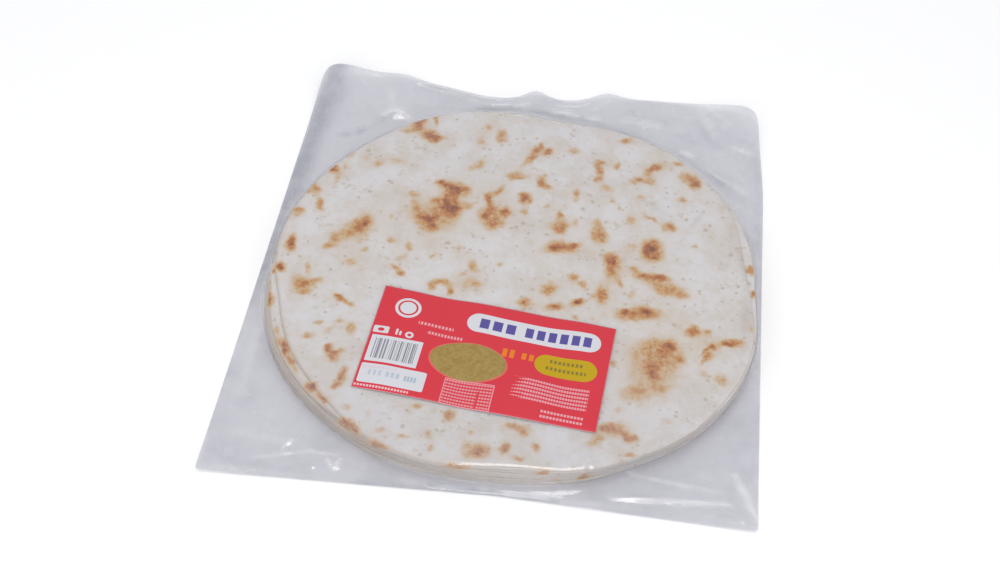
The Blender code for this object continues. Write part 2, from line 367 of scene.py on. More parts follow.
# Toasted marks, where the photograph shows them: across, down, width, height, in pixels, then turn in
# degrees and strength
TOAST_MARKS = (
    (418, 126, 12, 12, 0, 0.75),
    (405, 129, 12, 6, 0, 0.35),
    (412, 131, 10, 5, 10, 0.40),
    (434, 137, 19, 9, -8, 1.00),
    (428, 133, 10, 8, 0, 0.60),
    (437, 120, 5, 11, -20, 0.55),
    (424, 121, 8, 6, 0, 0.45),
    (489, 128, 8, 7, 0, 0.40),
    (502, 136, 12, 12, 0, 0.55),
    (481, 140, 10, 8, 20, 0.42),
    (351, 155, 9, 5, 20, 0.35),
    (365, 158, 6, 5, 0, 0.30),
    (334, 168, 9, 10, 0, 0.85),
    (338, 178, 5, 12, -30, 0.38),
    (346, 168, 4, 9, -30, 0.35),
    (378, 164, 14, 7, 10, 0.38),
    (398, 161, 20, 5, -5, 0.32),
    (477, 166, 20, 8, 20, 0.42),
    (316, 187, 10, 12, 30, 0.65),
    (309, 191, 9, 6, 0, 0.42),
    (320, 204, 7, 14, 12, 0.60),
    (299, 211, 11, 8, 10, 0.62),
    (291, 244, 9, 15, -15, 0.98),
    (280, 267, 9, 9, 0, 0.88),
    (308, 267, 6, 10, 0, 0.50),
    (362, 226, 19, 26, -40, 0.66),
    (364, 222, 9, 9, 0, 0.45),
    (348, 232, 14, 14, 0, 0.40),
    (336, 236, 12, 12, 0, 0.52),
    (328, 245, 15, 8, 15, 0.46),
    (365, 248, 7, 6, 0, 0.42),
    (414, 195, 10, 5, -15, 0.50),
    (455, 190, 20, 14, 0, 0.98),
    (440, 184, 12, 5, 0, 0.82),
    (447, 187, 12, 7, -15, 0.75),
    (467, 190, 10, 7, 0, 0.38),
    (446, 203, 8, 15, 0, 0.92),
    (454, 210, 11, 11, 0, 1.00),
    (455, 201, 10, 8, 0, 0.70),
    (467, 206, 14, 7, 10, 0.48),
    (439, 200, 10, 8, 0, 0.60),
    (431, 223, 12, 14, 0, 0.78),
    (422, 217, 12, 12, 0, 0.66),
    (415, 206, 9, 12, 0, 0.46),
    (436, 216, 46, 32, 0, 0.44),
    (443, 214, 20, 20, 0, 0.34),
    (489, 198, 8, 11, 0, 0.76),
    (499, 191, 14, 6, 35, 0.60),
    (492, 207, 9, 9, 0, 0.50),
    (487, 214, 12, 10, 0, 0.76),
    (505, 212, 12, 9, 0, 0.90),
    (494, 223, 18, 13, 0, 0.58),
    (494, 215, 20, 18, 0, 0.34),
    (390, 240, 10, 7, 0, 0.42),
    (409, 246, 8, 10, 20, 0.42),
    (402, 256, 11, 8, 0, 0.32),
    (434, 257, 8, 4, 20, 0.35),
    (391, 216, 5, 4, 0, 0.38),
    (350, 261, 13, 9, 0, 0.40),
    (396, 267, 9, 6, -20, 0.48),
    (402, 273, 9, 7, -20, 0.52),
    (299, 282, 18, 14, 0, 0.50),
    (311, 282, 24, 8, 5, 0.48),
    (303, 291, 20, 7, 5, 0.42),
    (474, 266, 10, 14, 0, 0.56),
    (462, 274, 9, 5, 0, 0.36),
    (441, 282, 18, 6, -5, 0.62),
    (431, 287, 8, 9, 0, 0.50),
    (450, 290, 7, 10, 0, 0.64),
    (472, 284, 24, 10, 0, 0.42),
    (338, 297, 9, 6, -25, 0.52),
    (459, 248, 4, 8, 0, 0.30),
    (499, 264, 7, 5, 0, 0.34),
    (533, 155, 27, 8, 45, 0.68),
    (541, 146, 6, 6, 0, 0.45),
    (547, 152, 10, 5, 20, 0.72),
    (574, 151, 12, 6, -25, 0.46),
    (517, 176, 21, 7, 5, 0.52),
    (543, 184, 16, 8, -30, 0.74),
    (544, 176, 8, 5, 0, 0.36),
    (525, 199, 13, 11, 0, 1.00),
    (524, 212, 8, 6, 10, 0.52),
    (547, 207, 7, 6, 0, 0.36),
    (576, 196, 8, 10, 0, 0.52),
    (560, 227, 17, 13, 0, 0.70),
    (559, 215, 8, 9, 0, 0.50),
    (576, 222, 9, 8, 0, 0.26),
    (596, 224, 9, 12, 0, 0.52),
    (599, 236, 17, 14, 0, 0.66),
    (561, 248, 31, 13, 3, 0.74),
    (552, 250, 11, 7, 0, 0.62),
    (574, 247, 9, 6, 0, 0.66),
    (602, 163, 13, 7, 0, 0.58),
    (599, 171, 8, 16, 10, 0.66),
    (598, 179, 9, 6, 0, 0.66),
    (617, 165, 7, 7, 0, 0.46),
    (627, 140, 16, 7, 12, 0.56),
    (607, 188, 11, 7, -20, 0.38),
    (614, 201, 7, 5, -30, 0.38),
    (620, 209, 6, 6, 0, 0.32),
    (654, 169, 20, 8, 20, 0.78),
    (641, 181, 22, 7, 5, 0.58),
    (651, 180, 9, 7, 0, 0.48),
    (678, 164, 13, 5, -10, 0.52),
    (686, 177, 12, 10, 0, 0.56),
    (695, 183, 13, 12, -20, 0.94),
    (682, 199, 9, 8, 20, 0.52),
    (640, 197, 9, 8, 0, 0.36),
    (632, 221, 12, 8, -15, 0.42),
    (651, 218, 18, 5, -28, 0.50),
    (669, 228, 11, 10, 0, 0.62),
    (652, 251, 21, 22, 0, 0.66),
    (651, 250, 12, 13, 0, 0.90),
    (656, 256, 10, 9, 0, 0.60),
    (632, 248, 11, 7, 10, 0.32),
    (612, 261, 14, 12, 0, 0.86),
    (612, 272, 17, 17, 0, 0.50),
    (620, 283, 6, 9, 20, 0.42),
    (573, 277, 10, 9, 0, 0.56),
    (582, 285, 11, 8, -15, 0.52),
    (549, 289, 15, 12, 0, 0.68),
    (603, 294, 12, 17, 0, 0.76),
    (593, 297, 8, 8, 0, 0.30),
    (577, 302, 10, 8, 0, 0.88),
    (524, 303, 15, 10, 0, 0.58),
    (556, 308, 19, 9, 5, 0.74),
    (575, 317, 9, 6, -20, 0.54),
    (644, 278, 22, 10, -12, 0.62),
    (660, 280, 19, 8, -5, 0.78),
    (634, 270, 9, 6, -30, 0.46),
    (665, 289, 28, 11, -10, 0.48),
    (681, 293, 22, 9, -15, 0.46),
    (632, 295, 9, 7, 10, 0.32),
    (695, 247, 6, 4, 0, 0.36),
    (753, 294, 5, 8, 0, 0.52),
    (345, 301, 24, 6, -25, 0.52),
    (318, 322, 9, 6, 20, 0.46),
    (340, 321, 13, 8, 20, 0.34),
    (329, 331, 14, 6, 20, 0.28),
    (351, 329, 9, 12, 10, 0.46),
    (308, 336, 15, 7, 10, 0.38),
    (328, 348, 9, 9, 0, 0.86),
    (337, 353, 15, 7, 15, 0.94),
    (334, 359, 11, 9, 0, 0.76),
    (342, 375, 8, 15, -25, 0.72),
    (336, 383, 14, 8, 35, 0.66),
    (345, 406, 11, 8, 0, 0.30),
    (368, 413, 8, 8, 0, 0.22),
    (381, 429, 10, 7, 0, 0.40),
    (418, 406, 14, 6, 0, 0.52),
    (450, 416, 14, 11, 0, 0.72),
    (405, 437, 18, 6, 5, 0.38),
    (427, 435, 7, 9, -20, 0.42),
    (430, 446, 8, 6, 0, 0.40),
    (471, 432, 8, 8, 0, 0.40),
    (476, 451, 26, 13, -3, 0.88),
    (505, 449, 11, 10, 0, 0.94),
    (512, 427, 16, 7, 0, 0.62),
    (522, 431, 15, 9, -10, 0.58),
    (518, 459, 13, 7, -5, 0.66),
    (536, 447, 8, 12, 0, 0.50),
    (610, 428, 26, 10, 8, 0.86),
    (627, 436, 20, 8, -25, 0.72),
    (596, 441, 18, 12, 20, 0.48),
    (634, 439, 9, 8, 0, 0.50),
    (641, 314, 40, 12, 0, 0.62),
    (624, 314, 11, 8, 10, 0.80),
    (647, 312, 13, 7, -20, 0.88),
    (693, 332, 15, 11, 0, 0.72),
    (708, 333, 9, 9, 0, 0.46),
    (730, 344, 26, 8, 5, 0.82),
    (708, 355, 11, 11, 0, 0.68),
    (706, 349, 14, 3, 40, 0.80),
    (712, 346, 12, 3, -35, 0.60),
    (703, 362, 10, 3, 60, 0.55),
    (669, 346, 11, 11, 0, 0.80),
    (657, 350, 36, 20, 0, 0.50),
    (652, 366, 56, 46, 10, 0.42),
    (653, 371, 13, 12, 0, 0.84),
    (668, 364, 14, 14, 0, 0.36),
    (681, 358, 10, 9, 0, 0.60),
    (637, 392, 34, 14, 8, 0.46),
    (664, 389, 20, 10, 0, 0.32),
    (619, 410, 11, 8, 0, 0.28),
    (722, 381, 18, 11, -25, 0.42),
    (705, 374, 9, 9, 0, 0.28),
    (669, 421, 13, 6, 0, 0.28),
    (613, 363, 6, 6, 0, 0.50),
    (593, 319, 6, 4, 0, 0.34),
    (629, 456, 14, 5, 5, 0.64),
    (751, 329, 5, 8, 0, 0.42),
    (277, 231, 5, 13, 0, 0.34),
    (284, 347, 9, 20, 30, 0.94),
    (293, 363, 6, 18, 35, 0.68),
    (310, 387, 12, 9, -40, 0.96),
    (321, 398, 11, 7, -40, 0.92),
    (346, 424, 18, 10, -38, 0.84),
    (356, 431, 9, 7, -35, 0.84),
    (378, 444, 22, 7, -20, 0.82),
    (452, 465, 18, 7, -5, 0.76),
    (464, 467, 16, 6, 0, 0.52),
    (543, 472, 11, 6, 0, 0.76),
    (583, 477, 20, 5, 5, 0.56),
    (557, 481, 8, 4, 0, 0.40),
    (267, 303, 6, 10, 0, 0.32),
    (276, 330, 6, 9, 0, 0.34),
)
# How fast a mark fades from its middle
MARK_FALL = 0.95
# The crumb is warmer a little way round the marks
GLOW_FALL = 0.30
GLOW_SHARE = 0.45
# The rims are brown at the left front
RIM_BROWN = 0.75
RIM_BROWN_WIDTH = 0.0022
RIM_BROWN_DIRECTION = -142
RIM_BROWN_SPREAD = 48
# Painted shade in wrinkles of the top bread and along the edges of its blisters: start across, down, end
# across, down, in pixels, then depth of the shade and width
WRINKLE_SHADES = (
    (730, 220, 734, 243, 0.26, 0.0028),
    (734, 243, 730, 262, 0.30, 0.0028),
    (730, 262, 716, 274, 0.26, 0.0028),
    (703, 214, 686, 231, 0.20, 0.0026),
    (686, 231, 673, 255, 0.16, 0.0026),
    (706, 341, 714, 354, 1.0, 0.0009),
    (721, 343, 704, 356, 1.0, 0.0009),
    (649, 341, 657, 350, 0.9, 0.0009),
    (657, 350, 669, 345, 0.6, 0.0009),
    (551, 110, 574, 128, 0.26, 0.0020),
    (640, 200, 668, 214, 0.18, 0.0022),
    (742, 226, 749, 290, 0.55, 0.0048),
    (749, 290, 744, 350, 0.45, 0.0042),
    (275, 300, 282, 330, 0.4, 0.0010),
)
WRINKLE_END = 0.15
# The marks' edges wander by smooth noise: length and reach
MARK_WARPS = (
    (0.0085, 0.0017),
    (0.0030, 0.0011),
)
WARP_STARTS = (Vector((0, 0, 0)), Vector((9.3, 4.1, 7.7)), Vector((3.9, 8.8, 1.6)))
# Spots that the photograph doesn't show, drawn by chance: their number, where they may be, their radii
# and their strengths
SPOT_SEED = 7
HIDDEN_SPOTS = 34
HIDDEN_DIRECTIONS = (0, 200)
HIDDEN_INSETS = (-0.001, 0.012)
HIDDEN_RADII = (0.0015, 0.0045)
HIDDEN_STRENGTHS = (0.3, 0.85)
UNDERSIDE_SPOTS = 90
UNDERSIDE_REACH = 0.92
UNDERSIDE_RADII = (0.002, 0.008)
UNDERSIDE_STRENGTHS = (0.3, 0.9)

# Lengths of the patterns on the breads
BROAD_LENGTH = 0.020
ZONE_LENGTH = 0.016
BLOTCH_LENGTH = 0.0062
FRECKLE_SPACING = 0.0058
LUMP_LENGTH = 0.0042
VEIN_LENGTH = 0.0032
GRAIN_LENGTH = 0.0011

# Patterns of the film: their lengths, and where they come and go
CLOUD_LENGTH = 0.026
STREAK_LENGTH = 0.013
CRINKLE_LENGTH = 0.0090
CRINKLE_DEPTH = 0.00022
LOOSE_AT_BACK = (-0.02, 0.14)
LOOSE_AT_FRONT = (0.04, 0.15)
# Painted highlights in streaks of the loose film: noise levels, the heights above which they fade, and
# strength
RUMPLE_SHEEN_LEVELS = (0.52, 0.74)
RUMPLE_SHEEN_HEIGHTS = (0.007, 0.013)
RUMPLE_SHEEN_SHARE = 0.16

# The label
LABEL_LENGTH = 0.140
LABEL_WIDTH = 0.0786
LABEL_CENTRE = Vector((-0.0063, -0.0848))
LABEL_TURN = math.radians(-4.0)
LABEL_THICKNESS = 0.00016
LABEL_GAP = 0.00018
LABEL_COLUMNS = 84
LABEL_ROWS = 48
# Long waves of the paper and the film under it: length, height and start
LABEL_WAVES = (
    (0.062, 0.00080, 0.4),
    (0.031, 0.00022, 2.1),
)
LABEL_WAVE_SLANT = 0.3
LABEL_WAVE_EASE = 0.020
# Lengths of the label's patterns, and the depth of its fibres
MOTTLE_LENGTH = 0.012
BAKED_LENGTH = 0.0034
FIBRE_LENGTH = 0.0009
FIBRE_DEPTH = 0.00010
MILLIMETRE = 0.001
OVAL = None
# The label's print, in the order in which it is laid, in millimetres from its lower left corner: across,
# up, width, height, corner, ink and share, then start, pitch and fill of blocks and of rows
LABEL_PRINT = (
    (17.5, 64.0, 15.5, 15.5, OVAL, "paper", 1),
    (17.5, 64.0, 12.0, 12.0, OVAL, "red", 1),
    (17.5, 64.0, 9.6, 9.6, OVAL, "paper", 1),
    (36.5, 54.6, 21.0, 2.2, 0.4, "pink", 1, 27.0, 2.1, 0.62),
    (43.0, 48.6, 21.0, 2.2, 0.4, "pink", 1, 33.0, 1.9, 0.62),
    (6.0, 44.6, 9.2, 5.2, 0.8, "paper", 1),
    (6.0, 44.6, 4.0, 2.6, OVAL, "red", 1),
    (15.4, 44.6, 1.3, 4.4, 0.4, "paper", 1),
    (17.6, 44.0, 1.3, 3.2, 0.4, "paper", 1),
    (23.0, 43.8, 5.0, 4.8, OVAL, "paper", 1),
    (23.0, 43.8, 2.4, 2.2, OVAL, "red", 1),
    (17.2, 30.2, 30.4, 20.0, 0.5, "paper", 1),
    (20.7, 11.4, 38.2, 14.0, 1.2, "paper", 1),
    (12.0, 16.0, 20.0, 1.0, 0.4, "pink", 0.55, 2.0, 1.7, 0.6),
    (10.4, 12.0, 9.0, 3.8, 0.4, "pale_blue", 0.55, 6.0, 3.0, 0.5),
    (20.8, 12.0, 9.0, 3.8, 0.4, "pale_blue", 0.60, 16.4, 3.0, 0.6),
    (31.0, 11.6, 7.6, 3.8, 0.4, "pale_blue", 0.85, 27.4, 1.9, 0.7),
    (16.4, 2.4, 32.0, 1.5, 0.4, "rose", 1, 0.6, 1.8, 0.68),
    (60.3, 32.5, 46.0, 28.8, OVAL, "amber", 0.5),
    (60.3, 32.8, 44.4, 27.4, OVAL, "gold", 1),
    (81.8, 44.2, 8.4, 6.2, 0.5, "orange", 1, 77.4, 4.3, 0.62),
    (93.0, 44.0, 8.0, 4.8, 0.5, "orange", 1, 88.8, 4.3, 0.62),
    (115.8, 41.8, 36.4, 15.2, 7.5, "yellow", 1),
    (115.6, 45.0, 20.0, 2.4, 0.4, "olive", 0.8, 105.6, 2.5, 0.6),
    (116.0, 39.6, 24.0, 2.4, 0.4, "olive", 0.8, 104.0, 2.5, 0.6),
    (119.6, 5.9, 24.6, 7.0, 0.4, "pink", 1, 107.0, 1.9, 0.72, 2.4, 3.5, 0.50),
)
# The heading, whose pill and blocks lie along a low wave
HEADING_PRINT = (
    (93.2, 62.8, 79.6, 14.4, 7.1, "paper", 1),
    (71.8, 62.8, 23.6, 7.4, 0.5, "blue", 1, 60.0, 7.9, 0.70),
    (107.9, 62.8, 41.0, 7.4, 0.5, "blue", 1, 87.4, 6.85, 0.68),
)
HEADING_WAVE = (0.085, 0.6, 0.55)
LABEL_EDGE = (70.0, 39.3, 139.0, 77.6, 0.2)
BARS = (17.4, 30.4, 25.6, 15.2, 0.1)
BAR_WIDTH = 0.9
BAR_LEVELS = (0.49, 0.52)
# Rows of fine blocks with a ragged left side, which goes in and out once in so many rows
FINE_PRINT = (110.0, 21.0, 44.0, 16.4, 0.4, 88.0, 1.55, 0.74, 12.9, 2.72, 0.58)
RAGGED_STEPS = 0.42
RAGGED_DEPTH = 9.0
RAGGED_START = 87.0
TABLE_FRAME = (64.6, 9.6, 28.8, 18.6, 0.3)
TABLE_INSIDE = (64.6, 9.6, 27.8, 17.6, 0.2)
TABLE_CELLS = (*TABLE_INSIDE, 50.8, 1.7, 0.76, 1.0, 2.2, 0.52)
TABLE_GAP = (70.6, 7.0, 1.0, 12.0, 0.1)

# The stage
FLOOR_SIZE = 6.0
FLOOR_DROP = 0.0003
# Square lamps that face the pack: name, which setting has the power, size and place
LAMPS = (
    ("softbox", "softbox_power", (0.6, 0.35), (0.05, 0.0, 1.45)),
    ("front", "front_power", (1.4, 0.6), (-0.15, -1.35, 0.65)),
    ("spot", "spot_power", (0.16, 0.08), (-0.10, 1.45, 0.75)),
)


def swell(distance, spread):
    """A smooth hump, 1 at its middle and gone two spreads away."""
    return math.exp(-((distance / spread) ** 2))


def ramp(value, start, end):
    """0 before start, 1 after end and smooth between."""
    share = min(max((value - start) / (end - start), 0.0), 1.0)
    return share * share * (3 - 2 * share)


def blend(a, b, share):
    return a + (b - a) * share


def stroke_height(x, y, strokes, end):
    """The highest of some ridges at one place, each with its start, end, height and width."""
    height = 0.0
    for x0, y0, x1, y1, rise, width in strokes:
        run_x = x1 - x0
        run_y = y1 - y0
        share = ((x - x0) * run_x + (y - y0) * run_y) / (run_x * run_x + run_y * run_y)
        share = min(max(share, 0.0), 1.0)
        away = math.hypot(x - x0 - run_x * share, y - y0 - run_y * share)
        if away < 3 * width:
            taper = math.sin(math.pi * min(max(share, end), 1 - end))
            height = max(height, rise * taper * swell(away, width))
    return height


def sight_line(across, down):
    """The direction from the camera through one pixel of the photograph."""
    seen = Vector((across - PHOTO_WIDTH / 2, PHOTO_HEIGHT / 2 - down, -FOCAL_PIXELS))
    return CAMERA_AXES @ seen


def place_at(across, down, height):
    """The place at one height that a pixel of the photograph shows."""
    line = sight_line(across, down)
    place = CAMERA_PLACE + line * ((height - CAMERA_PLACE.z) / line.z)
    return place.xy


def placed_strokes(strokes, level):
    """Strokes that were given in pixels, with their ends in metres at one height."""
    made = []
    for x0, y0, x1, y1, *sizes in strokes:
        start = place_at(x0, y0, level)
        end = place_at(x1, y1, level)
        made.append((*start, *end, *sizes))
    return made


def photo_places(places):
    """Where the photograph shows each of some places, across and down in pixels."""
    seen = (places - np.array(CAMERA_PLACE)) @ np.array(CAMERA_AXES)
    across = PHOTO_WIDTH / 2 - FOCAL_PIXELS * seen[:, 0] / seen[:, 2]
    down = PHOTO_HEIGHT / 2 + FOCAL_PIXELS * seen[:, 1] / seen[:, 2]
    return across, down


def stack_place(angle, radius):
    """The place in one direction from the stack's centre, at one distance."""
    return STACK_CENTRE + Vector((math.cos(angle), math.sin(angle))) * radius


def seen_from_stack(x, y):
    """A place's direction and distance from the stack's centre."""
    across = x - STACK_CENTRE.x
    along = y - STACK_CENTRE.y
    return math.atan2(along, across), math.hypot(across, along)


def degrees_beside(angle, direction):
    """How many degrees an angle is to one side of a direction, or less than 0 to the other side."""
    return (math.degrees(angle) - direction + 180) % 360 - 180


def rim_radius(angle, swells):
    """The radius of a bread's rim in one direction, out of round by the given swells."""
    radius = BREAD_RADIUS
    for direction, height, spread in swells:
        radius += height * swell(degrees_beside(angle, direction), spread)
    return radius


def front_edge(x):
    """The front edge slants back from the left corner, and is straight along its right half."""
    share = min(max((x + BAG_WIDTH / 2) / (FRONT_EDGE_BEND + BAG_WIDTH / 2), 0.0), 1.0)
    return FRONT_EDGE + FRONT_EDGE_STEP * share


def back_edge(x):
    """The back edge reaches furthest at its right end, and is drawn in by small waves."""
    edge = BACK_EDGE + BACK_EDGE_STEP * (1 - ramp(x, *BACK_STEP_REACH))
    for place, height, spread in BACK_EDGE_WAVES:
        edge += height * swell(x - place, spread)
    return edge


def bag_edge_radius(angle):
    """How far the bag's edge is from the stack's centre in one direction."""
    across = math.cos(angle)
    along = math.sin(angle)
    sharpness = BACK_CORNER_SHARPNESS if along > 0 else FRONT_CORNER_SHARPNESS
    half = BAG_WIDTH / 2
    to_side = to_end = BEYOND_EDGE
    radius = half
    for _ in range(EDGE_STEPS):
        x = min(max(STACK_CENTRE.x + radius * across, -half), half)
        y = STACK_CENTRE.y + radius * along
        side = half - RIGHT_EDGE_TAPER * ramp(y, *RIGHT_TAPER) if across > 0 else -half
        end = back_edge(x) if along > 0 else front_edge(x)
        if abs(across) > TINY:
            to_side = min((side - STACK_CENTRE.x) / across, BEYOND_EDGE)
        if abs(along) > TINY:
            to_end = min((end - STACK_CENTRE.y) / along, BEYOND_EDGE)
        near, beyond = sorted((to_side, to_end))
        radius = near * (1 + (near / beyond) ** sharpness) ** (-1 / sharpness)
    return radius


@lru_cache(maxsize=None)
def stack_radii(angle):
    """The radii of the stack's top rim, its foot and the bag's edge in one direction."""
    edge = bag_edge_radius(angle)
    foot = min(rim_radius(angle, FOOT_RIM) + FILM_GAP, edge - LEAST_MARGIN)
    top = min(rim_radius(angle, TOP_RIM), foot + MOST_OVERHANG)
    return top, foot, edge


def coarse_radii(angle):
    """The same radii, worked out once for every thousandth of a radian."""
    return stack_radii(round(angle, ANGLE_DIGITS))


def label_place(x, y):
    """A place seen from the label's centre, along its length and across it."""
    return Matrix.Rotation(-LABEL_TURN, 2) @ (Vector((x, y)) - LABEL_CENTRE)


def label_wave(x, y):
    """What the label's own waves add to the top film, gone a little beyond its edges."""
    place = label_place(x, y)
    beyond = max(abs(place.x) - LABEL_LENGTH / 2, abs(place.y) - LABEL_WIDTH / 2)
    height = 0.0
    way = place.x + LABEL_WAVE_SLANT * place.y
    for length, rise, start in LABEL_WAVES:
        height += rise * (1 + math.sin(2 * math.pi * way / length + start))
    return height * (1 - ramp(beyond, -LABEL_WAVE_EASE, LABEL_WAVE_EASE))


def top_height(x, y):
    """The film's height where it lies on the top bread."""
    ripple = math.sin(2 * math.pi * (x + RIPPLE_SLANT * y) / RIPPLE_LENGTH)
    cross_ripple = math.sin(2 * math.pi * (y - RIPPLE_SLANT * x) / CROSS_RIPPLE_LENGTH)
    height = STACK_HEIGHT + RIPPLE_HEIGHT * ripple * cross_ripple
    for blister_x, blister_y, spread, rise in BLISTERS:
        away = math.hypot(x - STACK_CENTRE.x - blister_x, y - STACK_CENTRE.y - blister_y)
        height += rise * swell(away, spread)
    return height


def side_drop(share):
    """How far below the stack's top the film is on its side, along a smooth curve."""
    share = min(max(share, 0.0), 1.0)
    ends = [SIDE_PROFILE[0], *SIDE_PROFILE, SIDE_PROFILE[-1]]
    for before, start, end, after in zip(ends, ends[1:], ends[2:], ends[3:]):
        if share <= end[0]:
            length = end[0] - start[0]
            way = (share - start[0]) / length
            slope_in = (end[1] - before[1]) / max(end[0] - before[0], TINY) * length
            slope_out = (after[1] - start[1]) / max(after[0] - start[0], TINY) * length
            square = way * way
            cube = square * way
            return (
                start[1] * (2 * cube - 3 * square + 1)
                + slope_in * (cube - 2 * square + way)
                + end[1] * (3 * square - 2 * cube)
                + slope_out * (cube - square)
            )
    return SIDE_PROFILE[-1][1]


def lift_height(x, y, from_foot):
    """How far both films are off the table, such as at a corner that curls up."""
    rise = 0.0
    for lift_x, lift_y, height, spread in LIFTS:
        rise += height * swell(math.hypot(x - lift_x, y - lift_y), spread)
    return rise * ramp(from_foot, *LIFT_EASE)


def loose_swell(x, y):
    """Small smooth swells of the loose film."""
    height = 0.0
    for length, rise in zip(SWELL_LENGTHS, SWELL_HEIGHTS):
        height += rise * (1 + noise.noise(Vector((x, y, 0.0)) / length))
    return height * (1 - FRONT_CALM * ramp(-y, *FRONT_CALM_REACH))


def margin_height(x, y, from_foot, to_edge, creases):
    """The film falls from the stack's side like a tent, and lies in low folds to the sealed edge."""
    tent = (FOOT_HEIGHT - MARGIN_HEIGHT) * math.exp(-from_foot / TENT_LENGTH)
    flat = blend(SEALED_EDGE_HEIGHT, MARGIN_HEIGHT, ramp(to_edge, 0, EDGE_EASE))
    folds = stroke_height(x, y, FOLDS, FOLD_END) * ramp(to_edge, 0, FOLD_EASE)
    fine = stroke_height(x, y, creases, CREASE_END) * ramp(to_edge, 0, CREASE_EASE)
    loose = loose_swell(x, y) * ramp(to_edge, 0, FOLD_EASE) * ramp(from_foot, 0, FOLD_EASE)
    seam = SEAM_HEIGHT * swell(to_edge - SEAM_INSET, SEAM_WIDTH)
    return flat + folds + fine + loose + seam + tent * ramp(to_edge, 0, TENT_EASE)


def spoke_angle(turn):
    """The direction of a spoke at one share of the full turn: spokes stand closer near the corners."""
    side, step = divmod(turn * len(CORNERS), 1)
    starts = (*CORNERS, CORNERS[0] + 360, CORNERS[1] + 360)
    way = 2 * math.pi * step
    share = (way - CORNER_CROWDING * math.sin(way)) / (2 * math.pi)
    return math.radians(blend(starts[int(side)], starts[int(side) + 1], share))


def colour_property(name, description, colour):
    return FloatVectorProperty(
        name=name, description=description, subtype="COLOR", size=3, min=0, max=1, default=colour
    )


def power_property(name, description, power):
    return FloatProperty(name=name, description=description, unit="POWER", default=power, min=0)


def share_property(name, description, share):
    return FloatProperty(
        name=name, description=description, subtype="FACTOR", min=0, max=1, default=share
    )


class BreadSettings(bpy.types.PropertyGroup):
    """Colours and relief of the breads."""

    flour: colour_property("Flour", "Colour of the floury crumb", (0.664, 0.648, 0.650))
    shade: colour_property("Shade", "Colour of the crumb where the flour is thin", (0.592, 0.532, 0.470))
    # Partly browner crust, partly painted shade on the breads' steep rims
    side: colour_property("Side", "Colour of the crumb at the rims", (0.545, 0.465, 0.385))
    # Colour of the painted shade in wrinkles, and of the brown rims
    crease_shade_and_rim_brown: colour_property("Crease", "Colour in wrinkles and on brown rims", (0.330, 0.235, 0.165))
    blotch: colour_property("Blotch", "Colour of the pale blotches", (0.510, 0.415, 0.310))
    halo: colour_property("Halo", "Colour round toasted spots", (0.585, 0.450, 0.315))
    tan: colour_property("Tan", "Colour of lightly toasted spots", (0.565, 0.425, 0.272))
    amber: colour_property("Amber", "Colour between tan and brown", (0.550, 0.340, 0.155))
    brown: colour_property("Brown", "Colour of toasted spots", (0.465, 0.185, 0.050))
    umber: colour_property("Umber", "Colour between brown and the darkest", (0.320, 0.095, 0.024))
    char: colour_property("Char", "Colour of the darkest spots", (0.190, 0.056, 0.020))
    freckle: colour_property("Freckle", "Colour of the tiny freckles", (0.400, 0.320, 0.230))
    grain: FloatProperty(
        name="Grain",
        description="Height of the floury grain",
        unit="LENGTH",
        default=0.00006,
        min=0,
        max=0.001,
    )


class FilmSettings(bpy.types.PropertyGroup):
    """How clear and how glossy the bag's film is."""

    tint: colour_property("Tint", "What the top film lets through", (0.970, 0.968, 0.972))
    under_tint: colour_property("Under tint", "What the lower film lets through", (0.872, 0.866, 0.900))
    haze_colour: colour_property("Haze colour", "Colour of the film's haze", (0.700, 0.705, 0.745))
    # The colour of the film's painted shade, where it is double and where shade falls on it
    doubled_and_shade_colour: colour_property(
        "Doubled colour", "Colour of the film's haze where it is double", (0.440, 0.450, 0.515)
    )
    # The colour of the film's painted highlights
    painted_sheen_colour: colour_property("Sheen colour", "Colour of creased film", (0.90, 0.90, 0.92))
    haze: share_property("Haze", "How milky the top film is", 0.030)
    under_haze: share_property("Under haze", "How milky the lower film is", 0.33)
    # How much milkier the film is in its strokes of painted shade and double film
    doubled: share_property("Doubled", "How much milkier the film is where it is double", 0.60)
    loose_haze: share_property("Loose haze", "How much milkier the film is in its margins", 0.065)
    gloss: share_property("Gloss", "What the film mirrors, seen straight on", 0.045)
    roughness: share_property("Roughness", "How blurred the film's reflections are", 0.13)


class LabelSettings(bpy.types.PropertyGroup):
    """Inks and paper of the label."""

    red: colour_property("Red", "Colour of the label's ground", (0.600, 0.032, 0.050))
    bright_red: colour_property("Bright red", "Colour of the ground's clouds", (0.700, 0.060, 0.080))
    paper: colour_property("Paper", "Colour of the unprinted paper", (0.615, 0.615, 0.655))
    blue: colour_property("Blue", "Colour of the heading's blocks", (0.090, 0.075, 0.290))
    gold: colour_property("Gold", "Colour of the oval", (0.300, 0.185, 0.040))
    pale_gold: colour_property("Pale gold", "Colour of the oval's light patches", (0.350, 0.255, 0.085))
    dark_gold: colour_property("Dark gold", "Colour of the oval's dark patches", (0.200, 0.105, 0.030))
    amber: colour_property("Amber", "Colour round the oval", (0.700, 0.240, 0.160))
    yellow: colour_property("Yellow", "Colour of the small pill", (0.480, 0.320, 0.002))
    olive: colour_property("Olive", "Colour of the small pill's blocks", (0.160, 0.130, 0.030))
    orange: colour_property("Orange", "Colour of the large blocks beside it", (0.700, 0.190, 0.010))
    pink: colour_property("Pink", "Colour of the fine blocks", (0.720, 0.330, 0.370))
    rose: colour_property("Rose", "Colour of the lowest row of blocks", (0.720, 0.480, 0.500))
    ink: colour_property("Ink", "Colour of the bars", (0.130, 0.130, 0.165))
    pale_blue: colour_property("Pale blue", "Colour of the white box's blocks", (0.330, 0.400, 0.500))


